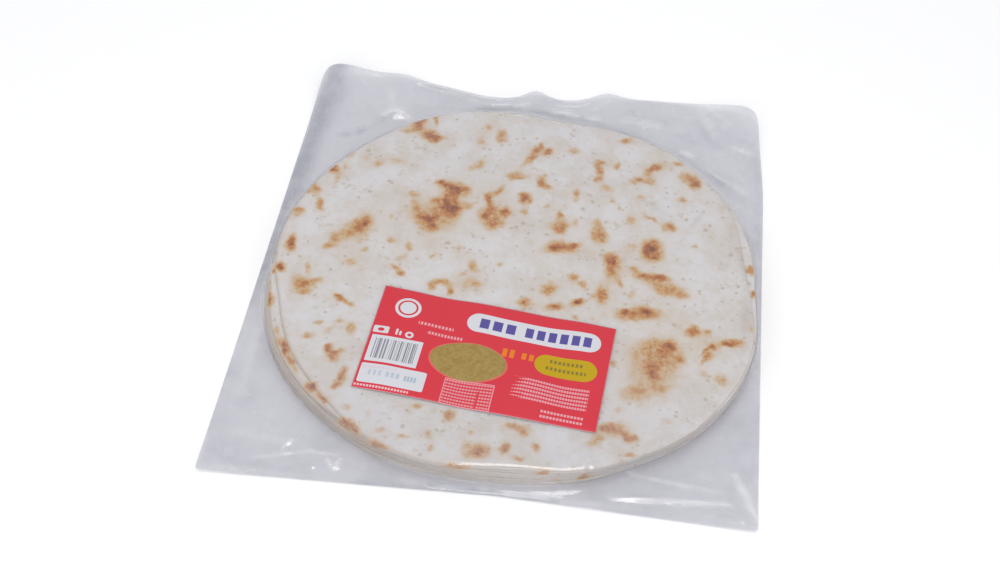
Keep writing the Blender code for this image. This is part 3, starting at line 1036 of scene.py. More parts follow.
class StageSettings(bpy.types.PropertyGroup):
    """The floor, the lamps and the sky round the object."""

    floor: colour_property("Floor", "Colour of the floor", (0.960, 0.960, 0.960))
    sky: colour_property("Sky", "Colour of the light from all round", (0.98, 0.985, 1.0))
    sky_strength: FloatProperty(
        name="Sky strength", description="Strength of the light from all round", default=0.80, min=0
    )
    softbox_power: power_property("Softbox power", "Power of the large lamp", 4.5)
    front_power: power_property("Front power", "Power of the lamp at the front", 5)
    spot_power: power_property("Spot power", "Power of the small lamp", 0.16)


def arithmetic(operation, reflected=False):
    """A method that adds one Math node for an operation on wires and numbers."""

    def method(self, *others):
        values = (*others, self) if reflected else (self, *others)
        return self.finish.add("ShaderNodeMath", {"operation": operation}, values)

    return method


class Wire:
    """An output of a material's node, on which arithmetic adds Math nodes."""

    def __init__(self, finish, output):
        self.finish = finish
        self.output = output

    __add__ = __radd__ = arithmetic("ADD")
    __sub__ = arithmetic("SUBTRACT")
    __rsub__ = arithmetic("SUBTRACT", reflected=True)
    __mul__ = __rmul__ = arithmetic("MULTIPLY")
    __truediv__ = arithmetic("DIVIDE")
    __pow__ = arithmetic("POWER")
    __abs__ = arithmetic("ABSOLUTE")
    least = arithmetic("MINIMUM")
    most = arithmetic("MAXIMUM")
    fraction = arithmetic("FRACT")
    sine = arithmetic("SINE")

    def held(self):
        """The value kept between 0 and 1."""
        return self.most(0).least(1)

    def between(self, low, high):
        """0 below low, 1 above high and smooth between."""
        settings = {"interpolation_type": "SMOOTHSTEP"}
        values = {"Value": self, "From Min": low, "From Max": high}
        return self.finish.add("ShaderNodeMapRange", settings, values)


class Finish:
    """A new material, with one method that adds its nodes."""

    def __init__(self, name):
        self.material = bpy.data.materials.new(name)
        self.material.use_nodes = True
        self.tree = self.material.node_tree
        self.tree.nodes.clear()

    def add(self, kind, settings=None, values=(), output=0):
        """Adds one node, sets it up and fills its sockets with values or links."""
        node = self.tree.nodes.new(kind)
        for name, setting in (settings or {}).items():
            if name == "stops":
                set_stops(node.color_ramp, setting)
            else:
                setattr(node, name, setting)
        pairs = values.items() if isinstance(values, dict) else enumerate(values)
        for key, value in pairs:
            socket = node.inputs[key] if isinstance(key, int) else socket_named(node, key)
            if isinstance(value, Wire):
                self.tree.links.new(value.output, socket)
            else:
                socket.default_value = filled(value, socket)
        return Wire(self, node.outputs[output])

    def mix(self, share, start, end):
        """A colour between two colours."""
        values = {"Factor_Float": share, "A_Color": start, "B_Color": end}
        return self.add("ShaderNodeMix", {"data_type": "RGBA"}, values, 2)

    def mix_shader(self, share, start, end):
        return self.add("ShaderNodeMixShader", None, (share, start, end))

    def noise(self, place, length, detail=3.0, roughness=0.5):
        """Smooth noise from 0 to 1 with features of about one length."""
        values = {"Vector": place, "Scale": 1 / length, "Detail": detail, "Roughness": roughness}
        return self.add("ShaderNodeTexNoise", None, values, "Fac")

    def place(self):
        return self.add("ShaderNodeTexCoord", None, (), "Object")

    def attribute(self, name):
        return self.add("ShaderNodeAttribute", {"attribute_name": name}, (), "Fac")

    def bump(self, height, depth):
        """A normal from a height between 0 and 1 and the depth that it stands for."""
        values = {"Height": height, "Distance": depth, "Strength": 1.0}
        return self.add("ShaderNodeBump", None, values)

    def show(self, surface):
        end = self.tree.nodes.new("ShaderNodeOutputMaterial")
        self.tree.links.new(surface.output, end.inputs["Surface"])
        return self.material


def set_stops(colour_ramp, stops):
    """Gives a colour ramp its stops, each a place and a colour, from 0 to 1."""
    for place, _ in stops[1:-1]:
        colour_ramp.elements.new(place)
    for element, (_, colour) in zip(colour_ramp.elements, stops):
        element.color = (*colour[:3], 1)


def socket_named(node, key):
    """A node's input by its identifier, or else by its name."""
    for socket in node.inputs:
        if socket.identifier == key:
            return socket
    return node.inputs[key]


def filled(value, socket):
    """A colour with its fourth number where the socket holds four."""
    held = socket.default_value
    if hasattr(held, "__len__") and len(held) == 4 and len(value) == 3:
        return (*value, 1)
    return value


def finished_piece(name, shape, finishes, replaced=()):
    """The piece of this name from a bmesh, with its finishes, on the object's one body."""
    mesh = bpy.data.meshes.new(name)
    shape.to_mesh(mesh)
    shape.free()
    for finish in finishes:
        mesh.materials.append(finish)
    mesh.shade_smooth()
    made = bpy.data.objects.new(name, mesh)
    bpy.context.scene.collection.objects.link(made)
    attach(made, BODY)
    if replaced:
        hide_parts(*replaced)
    return made


def mesh_places(mesh):
    """All of a mesh's points as rows of three numbers."""
    places = np.zeros(len(mesh.vertices) * 3)
    mesh.vertices.foreach_get("co", places)
    return places.reshape(-1, 3)


def store(mesh, name, values):
    """Keeps one number for each point of a mesh under a name that its finish reads."""
    attribute = mesh.attributes.new(name, "FLOAT", "POINT")
    attribute.data.foreach_set("value", np.asarray(values, dtype=np.float32))


def disc_polar(across, along):
    """Radius and angle in a disc of radius 1 for a place of a square from -1 to 1."""
    if abs(across) > abs(along):
        angle = math.pi / 4 * along / across
        return abs(across), angle if across > 0 else angle + math.pi
    if along == 0:
        return 0.0, 0.0
    angle = math.pi / 2 - math.pi / 4 * across / along
    return abs(along), angle if along > 0 else angle + math.pi


def bread_radius(level, angle):
    """How far one bread's rim is from the stack's centre in one direction."""
    top, foot, _ = coarse_radii(angle)
    reach = REACH_OUT[level] if foot > top else REACH_IN[level]
    radius = blend(top, foot, reach)
    if level == BREAD_COUNT - 1:
        radius += rim_radius(angle, TOP_BREAD_RIM) - BREAD_RADIUS
    outward = Vector((math.cos(angle), math.sin(angle), 0)) * BREAD_RADIUS
    for length, reach in RIM_WAVES:
        wander = noise.noise(outward / length + Vector((0, 0, LEVEL_SHIFT * level)))
        radius -= reach * (0.5 + 0.5 * wander)
    return radius - BREAD_CLEARANCE


def bread_height(level, place, radius, rim, angle):
    """The height of one bread's top at one place."""
    crown = top_height(*place) - BREAD_CLEARANCE
    share = (level + 1) / BREAD_COUNT
    height = BREAD_CLEARANCE + BREAD_STEP * (level + 1)
    height += (crown - STACK_HEIGHT + BREAD_CLEARANCE) * share
    if level == BREAD_COUNT - 1:
        point = Vector((*place, 0))
        for length, rise in LUMPS:
            height += rise * noise.noise(point / length)
        height -= RIM_DROOP * ramp(radius, rim - RIM_DROOP_LENGTH, rim)
    if level == BREAD_COUNT - 2:
        top, foot, _ = coarse_radii(angle)
        if foot > top and radius > top:
            hung = STACK_HEIGHT - side_drop((radius - top) / (foot - top)) - BREAD_CLEARANCE
            height = min(height, hung)
    return height


def draw_rim(shape, edges, outward, down):
    """Extrudes open rim edges, and moves their new points away from the stack's centre and down."""
    drawn = bmesh.ops.extrude_edge_only(shape, edges=edges)["geom"]
    for part in drawn:
        if isinstance(part, bmesh.types.BMVert):
            away = Vector((part.co.x - STACK_CENTRE.x, part.co.y - STACK_CENTRE.y, 0))
            part.co += away.normalized() * outward - Vector((0, 0, down))
    return [part for part in drawn if isinstance(part, bmesh.types.BMEdge)]


def bread_shape(level):
    """One bread: a finely divided disc with a rounded rim, shut by a flat underside."""
    cells = BREAD_CELLS[level]
    shape = bmesh.new()
    bmesh.ops.create_grid(shape, x_segments=cells, y_segments=cells, size=1)
    rims = {}
    crowding = 1 if level == BREAD_COUNT - 1 else RIM_CROWDING
    for vert in shape.verts:
        share, angle = disc_polar(vert.co.x, vert.co.y)
        share = 1 - (1 - share) ** crowding
        key = round(angle, 6)
        if key not in rims:
            rims[key] = bread_radius(level, angle) - RIM_ROUND
        radius = rims[key] * share
        place = stack_place(angle, radius)
        vert.co = (*place, bread_height(level, place, radius, rims[key], angle))
    straight = BREAD_STEP - BREAD_SPACE - 2 * RIM_ROUND
    edges = [edge for edge in shape.edges if edge.is_boundary]
    for outward, down in ((RIM_ROUND, RIM_ROUND), (0, straight), (-RIM_ROUND, RIM_ROUND)):
        edges = draw_rim(shape, edges, outward, down)
    bmesh.ops.contextual_create(shape, geom=edges)
    bmesh.ops.recalc_face_normals(shape, faces=shape.faces)
    return shape


def warped(places):
    """Places moved a little by smooth noise, so that a mark's edge wanders."""
    moved = places.copy()
    for index, place in enumerate(places):
        point = Vector(place)
        shift = Vector((0, 0, 0))
        for length, reach in MARK_WARPS:
            spot = point / length
            shift += reach * Vector([noise.noise(spot + way) for way in WARP_STARTS])
        moved[index] += shift
    return moved


def shown_toast(places):
    """How toasted each place is, and how warm the crumb is there, by the marks in the photograph."""
    across, down = photo_places(places)
    pale = np.ones(len(places))
    cool = np.ones(len(places))
    for x, y, width, height, turn, strength in TOAST_MARKS:
        cos = math.cos(math.radians(turn))
        sin = math.sin(math.radians(turn))
        along = ((across - x) * cos - (down - y) * sin) * 2 / width
        over = ((across - x) * sin + (down - y) * cos) * 2 / height
        away = along**2 + over**2
        pale *= 1 - strength * np.exp(-MARK_FALL * away)
        cool *= 1 - GLOW_SHARE * math.sqrt(strength) * np.exp(-GLOW_FALL * away)
    return 1 - pale, 1 - cool


def spotted_toast(places, spots):
    """How toasted each place is by spots, each with its place, radius and strength."""
    pale = np.ones(len(places))
    for x, y, radius, strength in spots:
        away = (places[:, 0] - x) ** 2 + (places[:, 1] - y) ** 2
        pale *= 1 - strength * np.exp(-MARK_FALL * away / radius**2)
    return 1 - pale


def rim_brown(level, places):
    """How brown a bread's rim is at each place: most at the left front."""
    values = []
    for x, y, _ in places:
        angle, distance = seen_from_stack(x, y)
        nearness = ramp(bread_radius(level, angle) - distance, RIM_BROWN_WIDTH, 0)
        beside = degrees_beside(angle, RIM_BROWN_DIRECTION)
        values.append(RIM_BROWN * nearness * swell(beside, RIM_BROWN_SPREAD))
    return np.array(values)


def drawn_spots(seed, count, drawn_place, radii, strengths):
    """Spots drawn by chance, each with its place, radius and strength."""
    draw = random.Random(SPOT_SEED + seed)
    return [(*drawn_place(draw), draw.uniform(*radii), draw.uniform(*strengths)) for _ in range(count)]


def hidden_spots(level):
    """Spots along the rim at the sides and the back, which the photograph doesn't show."""

    def drawn_place(draw):
        angle = math.radians(draw.uniform(*HIDDEN_DIRECTIONS))
        return stack_place(angle, bread_radius(level, angle) - draw.uniform(*HIDDEN_INSETS))

    return drawn_spots(level, HIDDEN_SPOTS, drawn_place, HIDDEN_RADII, HIDDEN_STRENGTHS)


def underside_spots():
    """Spots all over the bottom bread's underside."""

    def drawn_place(draw):
        angle = draw.uniform(0, 2 * math.pi)
        return stack_place(angle, BREAD_RADIUS * math.sqrt(draw.uniform(0, UNDERSIDE_REACH)))

    return drawn_spots(BREAD_COUNT, UNDERSIDE_SPOTS, drawn_place, UNDERSIDE_RADII, UNDERSIDE_STRENGTHS)


def bread_finish(settings):
    """Floury flatbread: pale crumb, freckles and toasted spots with ragged edges."""
    finish = Finish("flatbread")
    place = finish.place()
    toast = finish.attribute("toast")
    side = finish.attribute("side")
    broad = finish.noise(place, BROAD_LENGTH, 2.0)
    lumps = finish.noise(place, LUMP_LENGTH, 4.0, 0.6)
    grain = finish.noise(place, GRAIN_LENGTH, 3.0, 0.6)
    zones = finish.noise(place, ZONE_LENGTH, 2.0)
    thin = (broad - 0.5) * 2.4 + (lumps - 0.5) * 1.6 + 0.32
    crumb = finish.mix(thin.held(), settings.flour, settings.shade)
    # Steep rims are darker: partly browner crust, partly painted shade
    crumb = finish.mix(side * 0.75, crumb, settings.side)
    # Painted shade in the top bread's wrinkles, and the rims' brown at the left front
    crumb = finish.mix(finish.attribute("wrinkle") * 0.70, crumb, settings.crease_shade_and_rim_brown)
    blotches = finish.noise(place, BLOTCH_LENGTH, 3.0, 0.6) + (zones - 0.5) * 0.3
    crumb = finish.mix(blotches.between(0.575, 0.76) * 0.55, crumb, settings.blotch)
    cells = {"Vector": place, "Scale": 1 / FRECKLE_SPACING, "Randomness": 1.0}
    dots = finish.add("ShaderNodeTexVoronoi", {"feature": "F1"}, cells, "Distance")
    specks = (zones * 0.70 + lumps * 0.30 - 0.30 - dots).between(0.0, 0.13)
    crumb = finish.mix(specks * 0.55, crumb, settings.freckle)
    warm = toast.between(0.02, 0.45) * 0.85 + finish.attribute("glow") * 0.70
    crumb = finish.mix(warm.held(), crumb, settings.halo)
    veins = finish.noise(place, VEIN_LENGTH, 3.0, 0.6).between(0.30, 0.70)
    heat = toast**1.35 * (0.60 + veins * 0.46 + (lumps - 0.5) * 1.9)
    heat = heat + (grain - 0.5) * toast.between(0.02, 0.25) * 0.32
    stops = (
        (0.00, settings.tan),
        (0.24, settings.amber),
        (0.46, settings.brown),
        (0.70, settings.umber),
        (1.00, settings.char),
    )
    toasted = finish.add("ShaderNodeValToRGB", {"stops": stops}, {"Fac": heat}, "Color")
    values = {
        "Base Color": finish.mix(heat.between(0.02, 0.30), crumb, toasted),
        "Roughness": 0.85,
        "Specular IOR Level": 0.25,
        "Normal": finish.bump(lumps * 0.5 + grain * 0.5, settings.grain * 3),
    }
    return finish.show(finish.add("ShaderNodeBsdfPrincipled", None, values))


def film_finish(name, settings, under):
    """Clear film: mostly see-through, a little milky, with mirror-like glints where it is creased."""
    finish = Finish(name)
    place = finish.place()
    doubled = finish.attribute("doubled")
    tint = settings.under_tint if under else settings.tint
    haze = settings.under_haze if under else settings.haze
    clear = finish.add("ShaderNodeBsdfTransparent", None, {"Color": tint})
    milky = finish.add("ShaderNodeBsdfDiffuse", None, {"Color": settings.haze_colour})
    # Painted shade: a dark haze where the film is double, where shade falls on it, and in cloudy streaks
    shaded = finish.add("ShaderNodeBsdfDiffuse", None, {"Color": settings.doubled_and_shade_colour})
    cloud = finish.noise(place, CLOUD_LENGTH, 3.0)
    along = finish.add("ShaderNodeSeparateXYZ", None, (place,), "Y")
    high = finish.add("ShaderNodeSeparateXYZ", None, (place,), "Z")
    loose = along.between(*LOOSE_AT_BACK) + (0 - along).between(*LOOSE_AT_FRONT) * 2
    milkiness = haze * (0.5 + cloud) + doubled * settings.doubled + loose * settings.loose_haze
    streaks = finish.noise(place, STREAK_LENGTH, 4.0, 0.6)
    shadow = (doubled + (cloud - 0.5) * 1.2 + (streaks - 0.5) * 0.9 + 0.02).held()
    body = finish.mix_shader(milkiness, clear, finish.mix_shader(shadow, milky, shaded))
    # Painted highlights: a near-white haze along the creases, in the band over the back rim and in
    # streaks of the loose film
    white = finish.add("ShaderNodeBsdfDiffuse", None, {"Color": settings.painted_sheen_colour})
    rumpled_sheen = streaks.between(*RUMPLE_SHEEN_LEVELS) * (1 - high.between(*RUMPLE_SHEEN_HEIGHTS)) * RUMPLE_SHEEN_SHARE
    body = finish.mix_shader((finish.attribute("sheen") + rumpled_sheen).held(), body, white)
    crinkle = finish.noise(place, CRINKLE_LENGTH, 2.0, 0.4)
    normal = finish.bump(crinkle, CRINKLE_DEPTH)
    values = {"Color": (1, 1, 1), "Roughness": settings.roughness, "Normal": normal}
    shine = finish.add("ShaderNodeBsdfAnisotropic", None, values)
    facing = finish.add("ShaderNodeLayerWeight", None, {"Blend": 0.5}, "Facing")
    mirrored = (settings.gloss + facing**5 * (1 - settings.gloss)) * (1 - doubled * 0.7)
    return finish.show(finish.mix_shader(mirrored, body, shine))


class MakeBreads(bpy.types.Operator):
    """Make the ten stacked breads"""

    bl_idname = "flatbreads.make_breads"
    bl_label = "Make Breads"

    def execute(self, context):
        finish = bread_finish(context.scene.flatbread_breads)
        for level in range(BREAD_COUNT):
            name = f"bread_{level + 1:02d}"
            made = finished_piece(name, bread_shape(level), [finish])
            places = mesh_places(made.data)
            moved = warped(places)
            toast, glow = shown_toast(moved)
            store(made.data, "glow", glow)
            if level < BREAD_COUNT - 1:
                toast = 1 - (1 - toast) * (1 - spotted_toast(moved, hidden_spots(level)))
            if level == 0:
                toast = np.maximum(toast, spotted_toast(moved, underside_spots()))
            store(made.data, "toast", toast)
            dark = rim_brown(level, places)
            # Painted shade in the top bread's wrinkles
            if level == BREAD_COUNT - 1:
                wrinkle_shades = placed_strokes(WRINKLE_SHADES, STACK_HEIGHT)
                depths = [stroke_height(x, y, wrinkle_shades, WRINKLE_END) for x, y, _ in moved]
                dark = np.maximum(depths, dark)
            store(made.data, "wrinkle", dark)
            # How steep each point is, for the rims' browner crust and painted shade
            normals = np.zeros(len(places) * 3)
            made.data.vertices.foreach_get("normal", normals)
            store(made.data, "side", 1 - np.abs(normals.reshape(-1, 3)[:, 2]))
        return {"FINISHED"}


def film_rings():
    """The film's rings from below the stack's middle, round the sealed edge, to the top's middle.

    Each ring is the stretch that it lies on and its share of the way along that stretch.
    """
    rings = [("under core", step / UNDER_CORE_RINGS) for step in range(UNDER_CORE_RINGS)]
    rings += [("under margin", step / UNDER_MARGIN_RINGS) for step in range(UNDER_MARGIN_RINGS)]
    rings += [("margin", (step / MARGIN_RINGS) ** MARGIN_CROWDING) for step in range(MARGIN_RINGS)]
    rings += [("side", step / SIDE_RINGS) for step in range(SIDE_RINGS)]
    rings += [("top", (step / TOP_RINGS) ** TOP_CROWDING) for step in range(TOP_RINGS + 1)]
    return rings


def film_point(angle, ring, radii, creases, kinks):
    """The film's point on one ring in one direction."""
    top, foot, edge = radii
    stretch, share = ring
    if stretch == "under core":
        return Vector((*stack_place(angle, foot * share), 0.0))
    if stretch == "under margin":
        radius = blend(foot, edge, share)
        x, y = stack_place(angle, radius)
        rise = SEALED_EDGE_HEIGHT / 2 * ramp(edge - radius, EDGE_EASE, 0)
        return Vector((x, y, lift_height(x, y, radius - foot) + rise))
    if stretch == "margin":
        radius = blend(edge, foot, share)
        x, y = stack_place(angle, radius)
        lift = lift_height(x, y, radius - foot)
        return Vector((x, y, lift + margin_height(x, y, radius - foot, edge - radius, creases)))
    if stretch == "side":
        x, y = stack_place(angle, blend(foot, top, share))
        rise = -side_drop(1 - share)
    else:
        radius = top * (1 - share)
        x, y = stack_place(angle, radius)
        rise = label_wave(x, y) - SIDE_PROFILE[0][1] * ramp(radius / top, 1 - TOP_RIM_EASE, 1) ** 2
    return Vector((x, y, top_height(x, y) + rise + stroke_height(x, y, kinks, CREASE_END)))


def film_shape(creases, kinks):
    """The film: a grid of rings and spokes, wrapped round the stack and closed."""
    rings = film_rings()
    shape = bmesh.new()
    columns = FILM_SPOKES
    rows = len(rings) - 1
    bmesh.ops.create_grid(shape, x_segments=columns, y_segments=rows, size=0.5)
    margin_row = UNDER_CORE_RINGS + UNDER_MARGIN_RINGS
    for face in shape.faces:
        row = (face.calc_center_median().y + 0.5) * rows
        face.material_index = 1 if row < margin_row else 0
    known = {}
    for vert in shape.verts:
        column = round((vert.co.x + 0.5) * columns)
        row = round((vert.co.y + 0.5) * rows)
        turn = (column % columns) / columns
        angle = spoke_angle(turn)
        if column not in known:
            known[column] = stack_radii(angle)
        vert.co = film_point(angle, rings[row], known[column], creases, kinks)
    bmesh.ops.remove_doubles(shape, verts=shape.verts, dist=MERGE_DISTANCE)
    bmesh.ops.recalc_face_normals(shape, faces=shape.faces)
    return shape


def film_painted_sheen(mesh):
    """How much painted highlight the film has at each point: along creases, and in a lighter band where
    it is taut over the back rim.
    """
    strokes = placed_strokes(PAINTED_SHEENS, CREASE_LEVEL)
    values = []
    for x, y, _ in mesh_places(mesh):
        angle, distance = seen_from_stack(x, y)
        beyond = distance - coarse_radii(angle)[1]
        # The painted lighter band over the back rim
        band = ramp(beyond, RIM_BAND, 0) * ramp(beyond, *RIM_BAND_EASE) * ramp(y, *RIM_BAND_REACH)
        values.append(max(stroke_height(x, y, strokes, STROKE_END), band * RIM_BAND_SHARE))
    return values


class MakeFilm(bpy.types.Operator):
    """Make the clear film round the breads"""

    bl_idname = "flatbreads.make_film"
    bl_label = "Make Film"

    def execute(self, context):
        settings = context.scene.flatbread_film
        finishes = [
            film_finish("clear_film", settings, False),
            film_finish("clear_film_under", settings, True),
        ]
        creases = placed_strokes(CREASES, CREASE_LEVEL)
        shape = film_shape(creases, placed_strokes(RIM_KINKS, RIM_LEVEL))
        made = finished_piece("bag_film", shape, finishes, ["sealed_bag"])
        # The strokes of painted shade, which also mark where the film is double
        doubled = placed_strokes(DOUBLED_AND_SHADE, CREASE_LEVEL)
        values = [stroke_height(x, y, doubled, STROKE_END) for x, y, _ in mesh_places(made.data)]
        made.data.set_sharp_from_angle(angle=EDGE_ANGLE)
        store(made.data, "doubled", values)
        # The film's painted highlights
        store(made.data, "sheen", film_painted_sheen(made.data))
        return {"FINISHED"}


class Print:
    """The label's print, drawn in its finish by plain shapes at places in millimetres."""

    EDGE = 0.16

    def __init__(self, finish):
        self.finish = finish
        uv = finish.add("ShaderNodeUVMap", {"uv_map": "label"})
        self.across = finish.add("ShaderNodeSeparateXYZ", None, (uv,), "X") * (LABEL_LENGTH / MILLIMETRE)
        self.up = finish.add("ShaderNodeSeparateXYZ", None, (uv,), "Y") * (LABEL_WIDTH / MILLIMETRE)
        self.colour = None

    def ground(self, colour):
        self.colour = self.finish.mix(0.0, colour, colour)

    def ink(self, mask, colour):
        """Lays one colour where the mask is 1."""
        self.colour = self.finish.mix(mask, self.colour, colour)

    def shape(self, x, y, width, height, corner):
        """A box with round corners, or an oval."""
        if corner is OVAL:
            along = (self.across - x) * (2 / width)
            over = (self.up - y) * (2 / height)
            beyond = ((along * along + over * over) ** 0.5 - 1) * (min(width, height) / 2)
        else:
            over_x = (abs(self.across - x) - (width / 2 - corner)).most(0)
            over_y = (abs(self.up - y) - (height / 2 - corner)).most(0)
            beyond = (over_x * over_x + over_y * over_y) ** 0.5 - corner
        return (0.5 - beyond / self.EDGE).held()

    def strips(self, way, start, pitch, fill):
        """Strips side by side, each filling a share of its pitch."""
        step = ((way - start) / pitch).fraction()
        return (0.5 - (abs(step - 0.5) - fill / 2) * (pitch / self.EDGE)).held()

    def field(self, x, y, width, height, corner, *pattern):
        """A shape, broken into blocks and rows where their start, pitch and fill are given."""
        mask = self.shape(x, y, width, height, corner)
        for way, numbers in ((self.across, pattern[:3]), (self.up, pattern[3:])):
            if numbers:
                mask = mask * self.strips(way, *numbers)
        return mask

    def lay(self, rows, inks):
        """Lays a list of fields in their inks."""
        for row in rows:
            ink, share = row[5:7]
            self.ink(self.field(*row[:5], *row[7:]) * share, inks[ink])


def label_finish(settings):
    """Red label with plain fields: pills, an oval, a bar pattern, boxes and rows of blocks."""
    finish = Finish("label_print")
    place = finish.place()
    marks = Print(finish)
    mottle = finish.noise(place, MOTTLE_LENGTH, 3.0)
    marks.ground(settings.red)
    marks.ink(mottle * 0.12, settings.bright_red)
    marks.ink((1 - marks.shape(*LABEL_EDGE)) * 0.5, settings.pink)

    baked = finish.noise(place, BAKED_LENGTH, 4.0, 0.7)
    golden = finish.mix(baked.between(0.35, 0.65), settings.gold, settings.pale_gold)
    golden = finish.mix(baked.between(0.58, 0.70) * 0.6, golden, settings.dark_gold)
    inks = {row[5]: getattr(settings, row[5]) for row in (*LABEL_PRINT, *HEADING_PRINT)}
    inks["gold"] = golden
    marks.lay(LABEL_PRINT, inks)

    line = finish.add("ShaderNodeCombineXYZ", None, (marks.across, 0.0, 0.0))
    bars = finish.noise(line, BAR_WIDTH, 1.0).between(*BAR_LEVELS)
    marks.ink(marks.shape(*BARS) * bars * 0.85, settings.ink)

    left = (marks.up * RAGGED_STEPS).fraction() * RAGGED_DEPTH + RAGGED_START
    ragged = (marks.across - left).between(0.0, 0.2)
    marks.ink(marks.field(*FINE_PRINT) * ragged, settings.pink)

    marks.ink(marks.shape(*TABLE_FRAME) * (1 - marks.shape(*TABLE_INSIDE)), settings.pink)
    marks.ink(marks.field(*TABLE_CELLS) * (1 - marks.shape(*TABLE_GAP)) * 0.85, settings.pink)

    turns, start, rise = HEADING_WAVE
    marks.up = marks.up + (marks.across * turns + start).sine() * rise
    marks.lay(HEADING_PRINT, inks)

    fibres = finish.noise(place, FIBRE_LENGTH, 2.0)
    values = {
        "Base Color": marks.colour,
        "Roughness": 0.36 + mottle * 0.14,
        "Specular IOR Level": 0.25,
        "Normal": finish.bump(fibres * 0.3 + mottle * 0.7, FIBRE_DEPTH),
    }
    return finish.show(finish.add("ShaderNodeBsdfPrincipled", None, values))


def paper_finish(settings):
    """The label's bare paper at its edge and back."""
    finish = Finish("label_back")
    values = {"Base Color": settings.paper, "Roughness": 0.6}
    return finish.show(finish.add("ShaderNodeBsdfPrincipled", None, values))


def label_shape():
    """The label: a fine sheet with its own map of the print, a hair above the film."""
    shape = bmesh.new()
    bmesh.ops.create_grid(shape, x_segments=LABEL_COLUMNS, y_segments=LABEL_ROWS, size=0.5)
    sheet = shape.faces[:]
    sunk = bmesh.ops.extrude_face_region(shape, geom=sheet, use_keep_orig=True)["geom"]
    under = {part for part in sunk if isinstance(part, bmesh.types.BMVert)}
    layer = shape.loops.layers.uv.new("label")
    printed = set(sheet)
    for face in shape.faces:
        face.material_index = 0 if face in printed else 1
        for loop in face.loops:
            loop[layer].uv = (loop.vert.co.x + 0.5, loop.vert.co.y + 0.5)
    turn = Matrix.Rotation(LABEL_TURN, 2)
    for vert in shape.verts:
        flat = turn @ Vector((vert.co.x * LABEL_LENGTH, vert.co.y * LABEL_WIDTH)) + LABEL_CENTRE
        height = top_height(*flat) + label_wave(*flat) + LABEL_GAP
        vert.co = (*flat, height if vert in under else height + LABEL_THICKNESS)
    bmesh.ops.recalc_face_normals(shape, faces=shape.faces)
    return shape


class MakeLabel(bpy.types.Operator):
    """Make the printed paper label"""

    bl_idname = "flatbreads.make_label"
    bl_label = "Make Label"

    def execute(self, context):
        settings = context.scene.flatbread_label
        finishes = [label_finish(settings), paper_finish(settings)]
        finished_piece("label_sheet", label_shape(), finishes, ["label"])
        return {"FINISHED"}


def add_lamp(name, power, size, place):
    """A square lamp that faces the pack."""
    lamp = bpy.data.lights.new(name, "AREA")
    lamp.energy = power
    lamp.shape = "RECTANGLE"
    lamp.size, lamp.size_y = size
    made = bpy.data.objects.new(name, lamp)
    made.location = place
    made.rotation_euler = (-Vector(place)).to_track_quat("-Z", "Y").to_euler()
    bpy.context.scene.collection.objects.link(made)


def add_camera():
    """The camera that took the photograph."""
    camera = bpy.data.cameras.new("camera")
    camera.sensor_width = SENSOR_WIDTH
    camera.lens = FOCAL_PIXELS * SENSOR_WIDTH / PHOTO_WIDTH
    made = bpy.data.objects.new("camera", camera)
    made.matrix_world = Matrix.Translation(CAMERA_PLACE) @ CAMERA_AXES.to_4x4()
    bpy.context.scene.collection.objects.link(made)
    bpy.context.scene.camera = made


def add_floor(colour):
    finish = Finish("floor")
    values = {"Base Color": colour, "Roughness": 0.7, "Specular IOR Level": 0.2}
    shape = bmesh.new()
    bmesh.ops.create_grid(shape, x_segments=1, y_segments=1, size=FLOOR_SIZE / 2)
    bmesh.ops.translate(shape, verts=shape.verts, vec=(0, 0, -FLOOR_DROP))
    mesh = bpy.data.meshes.new("floor")
    shape.to_mesh(mesh)
    shape.free()
    mesh.materials.append(finish.show(finish.add("ShaderNodeBsdfPrincipled", None, values)))
    made = bpy.data.objects.new("floor", mesh)
    bpy.context.scene.collection.objects.link(made)


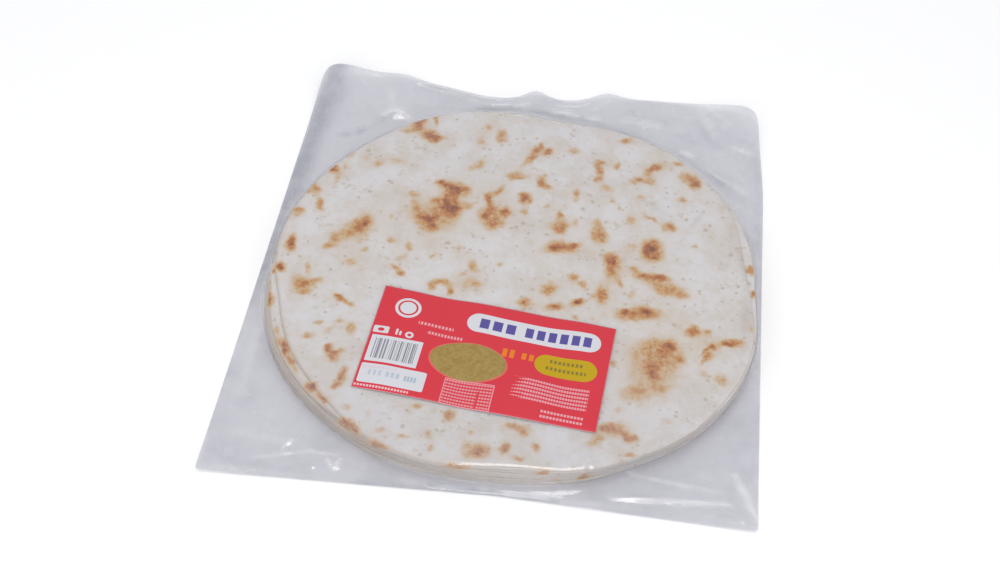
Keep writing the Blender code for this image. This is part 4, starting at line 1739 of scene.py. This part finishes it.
def set_sky(colour, strength):
    world = bpy.data.worlds.new("sky")
    world.use_nodes = True
    background = world.node_tree.nodes["Background"]
    background.inputs["Color"].default_value = (*colour, 1)
    background.inputs["Strength"].default_value = strength
    bpy.context.scene.world = world


class MakeStage(bpy.types.Operator):
    """Make the floor, the lamps and the camera"""

    bl_idname = "flatbreads.make_stage"
    bl_label = "Make Stage"

    def execute(self, context):
        settings = context.scene.flatbread_stage
        add_camera()
        add_floor(settings.floor)
        set_sky(settings.sky, settings.sky_strength)
        for name, power, size, place in LAMPS:
            add_lamp(name, getattr(settings, power), size, place)
        context.scene.view_settings.view_transform = "Standard"
        return {"FINISHED"}


class FlatbreadPanel(bpy.types.Panel):
    """Lists what makes the bag of flatbreads"""

    bl_idname = "VIEW3D_PT_bag_of_flatbreads"
    bl_label = "Bag of Flatbreads"
    bl_space_type = "VIEW_3D"
    bl_region_type = "UI"
    bl_category = "Flatbreads"

    def draw(self, context):
        for operator, holder in STEPS:
            box = self.layout.box()
            box.operator(operator.bl_idname)
            settings = getattr(context.scene, holder)
            for name in settings.bl_rna.properties.keys():
                if name not in ("rna_type", "name"):
                    box.prop(settings, name)


STEPS = (
    (MakeBreads, "flatbread_breads"),
    (MakeFilm, "flatbread_film"),
    (MakeLabel, "flatbread_label"),
    (MakeStage, "flatbread_stage"),
)
SETTINGS = {
    "flatbread_breads": BreadSettings,
    "flatbread_film": FilmSettings,
    "flatbread_label": LabelSettings,
    "flatbread_stage": StageSettings,
}
CLASSES = (*SETTINGS.values(), *(operator for operator, _ in STEPS), FlatbreadPanel)


def register():
    for kind in CLASSES:
        bpy.utils.register_class(kind)
    for holder, kind in SETTINGS.items():
        setattr(bpy.types.Scene, holder, PointerProperty(type=kind))


def unregister():
    for holder in SETTINGS:
        delattr(bpy.types.Scene, holder)
    for kind in reversed(CLASSES):
        bpy.utils.unregister_class(kind)


def main():
    register()
    bpy.ops.flatbreads.make_breads()
    bpy.ops.flatbreads.make_film()
    bpy.ops.flatbreads.make_label()
    bpy.ops.flatbreads.make_stage()


if __name__ == "__main__":
    main()
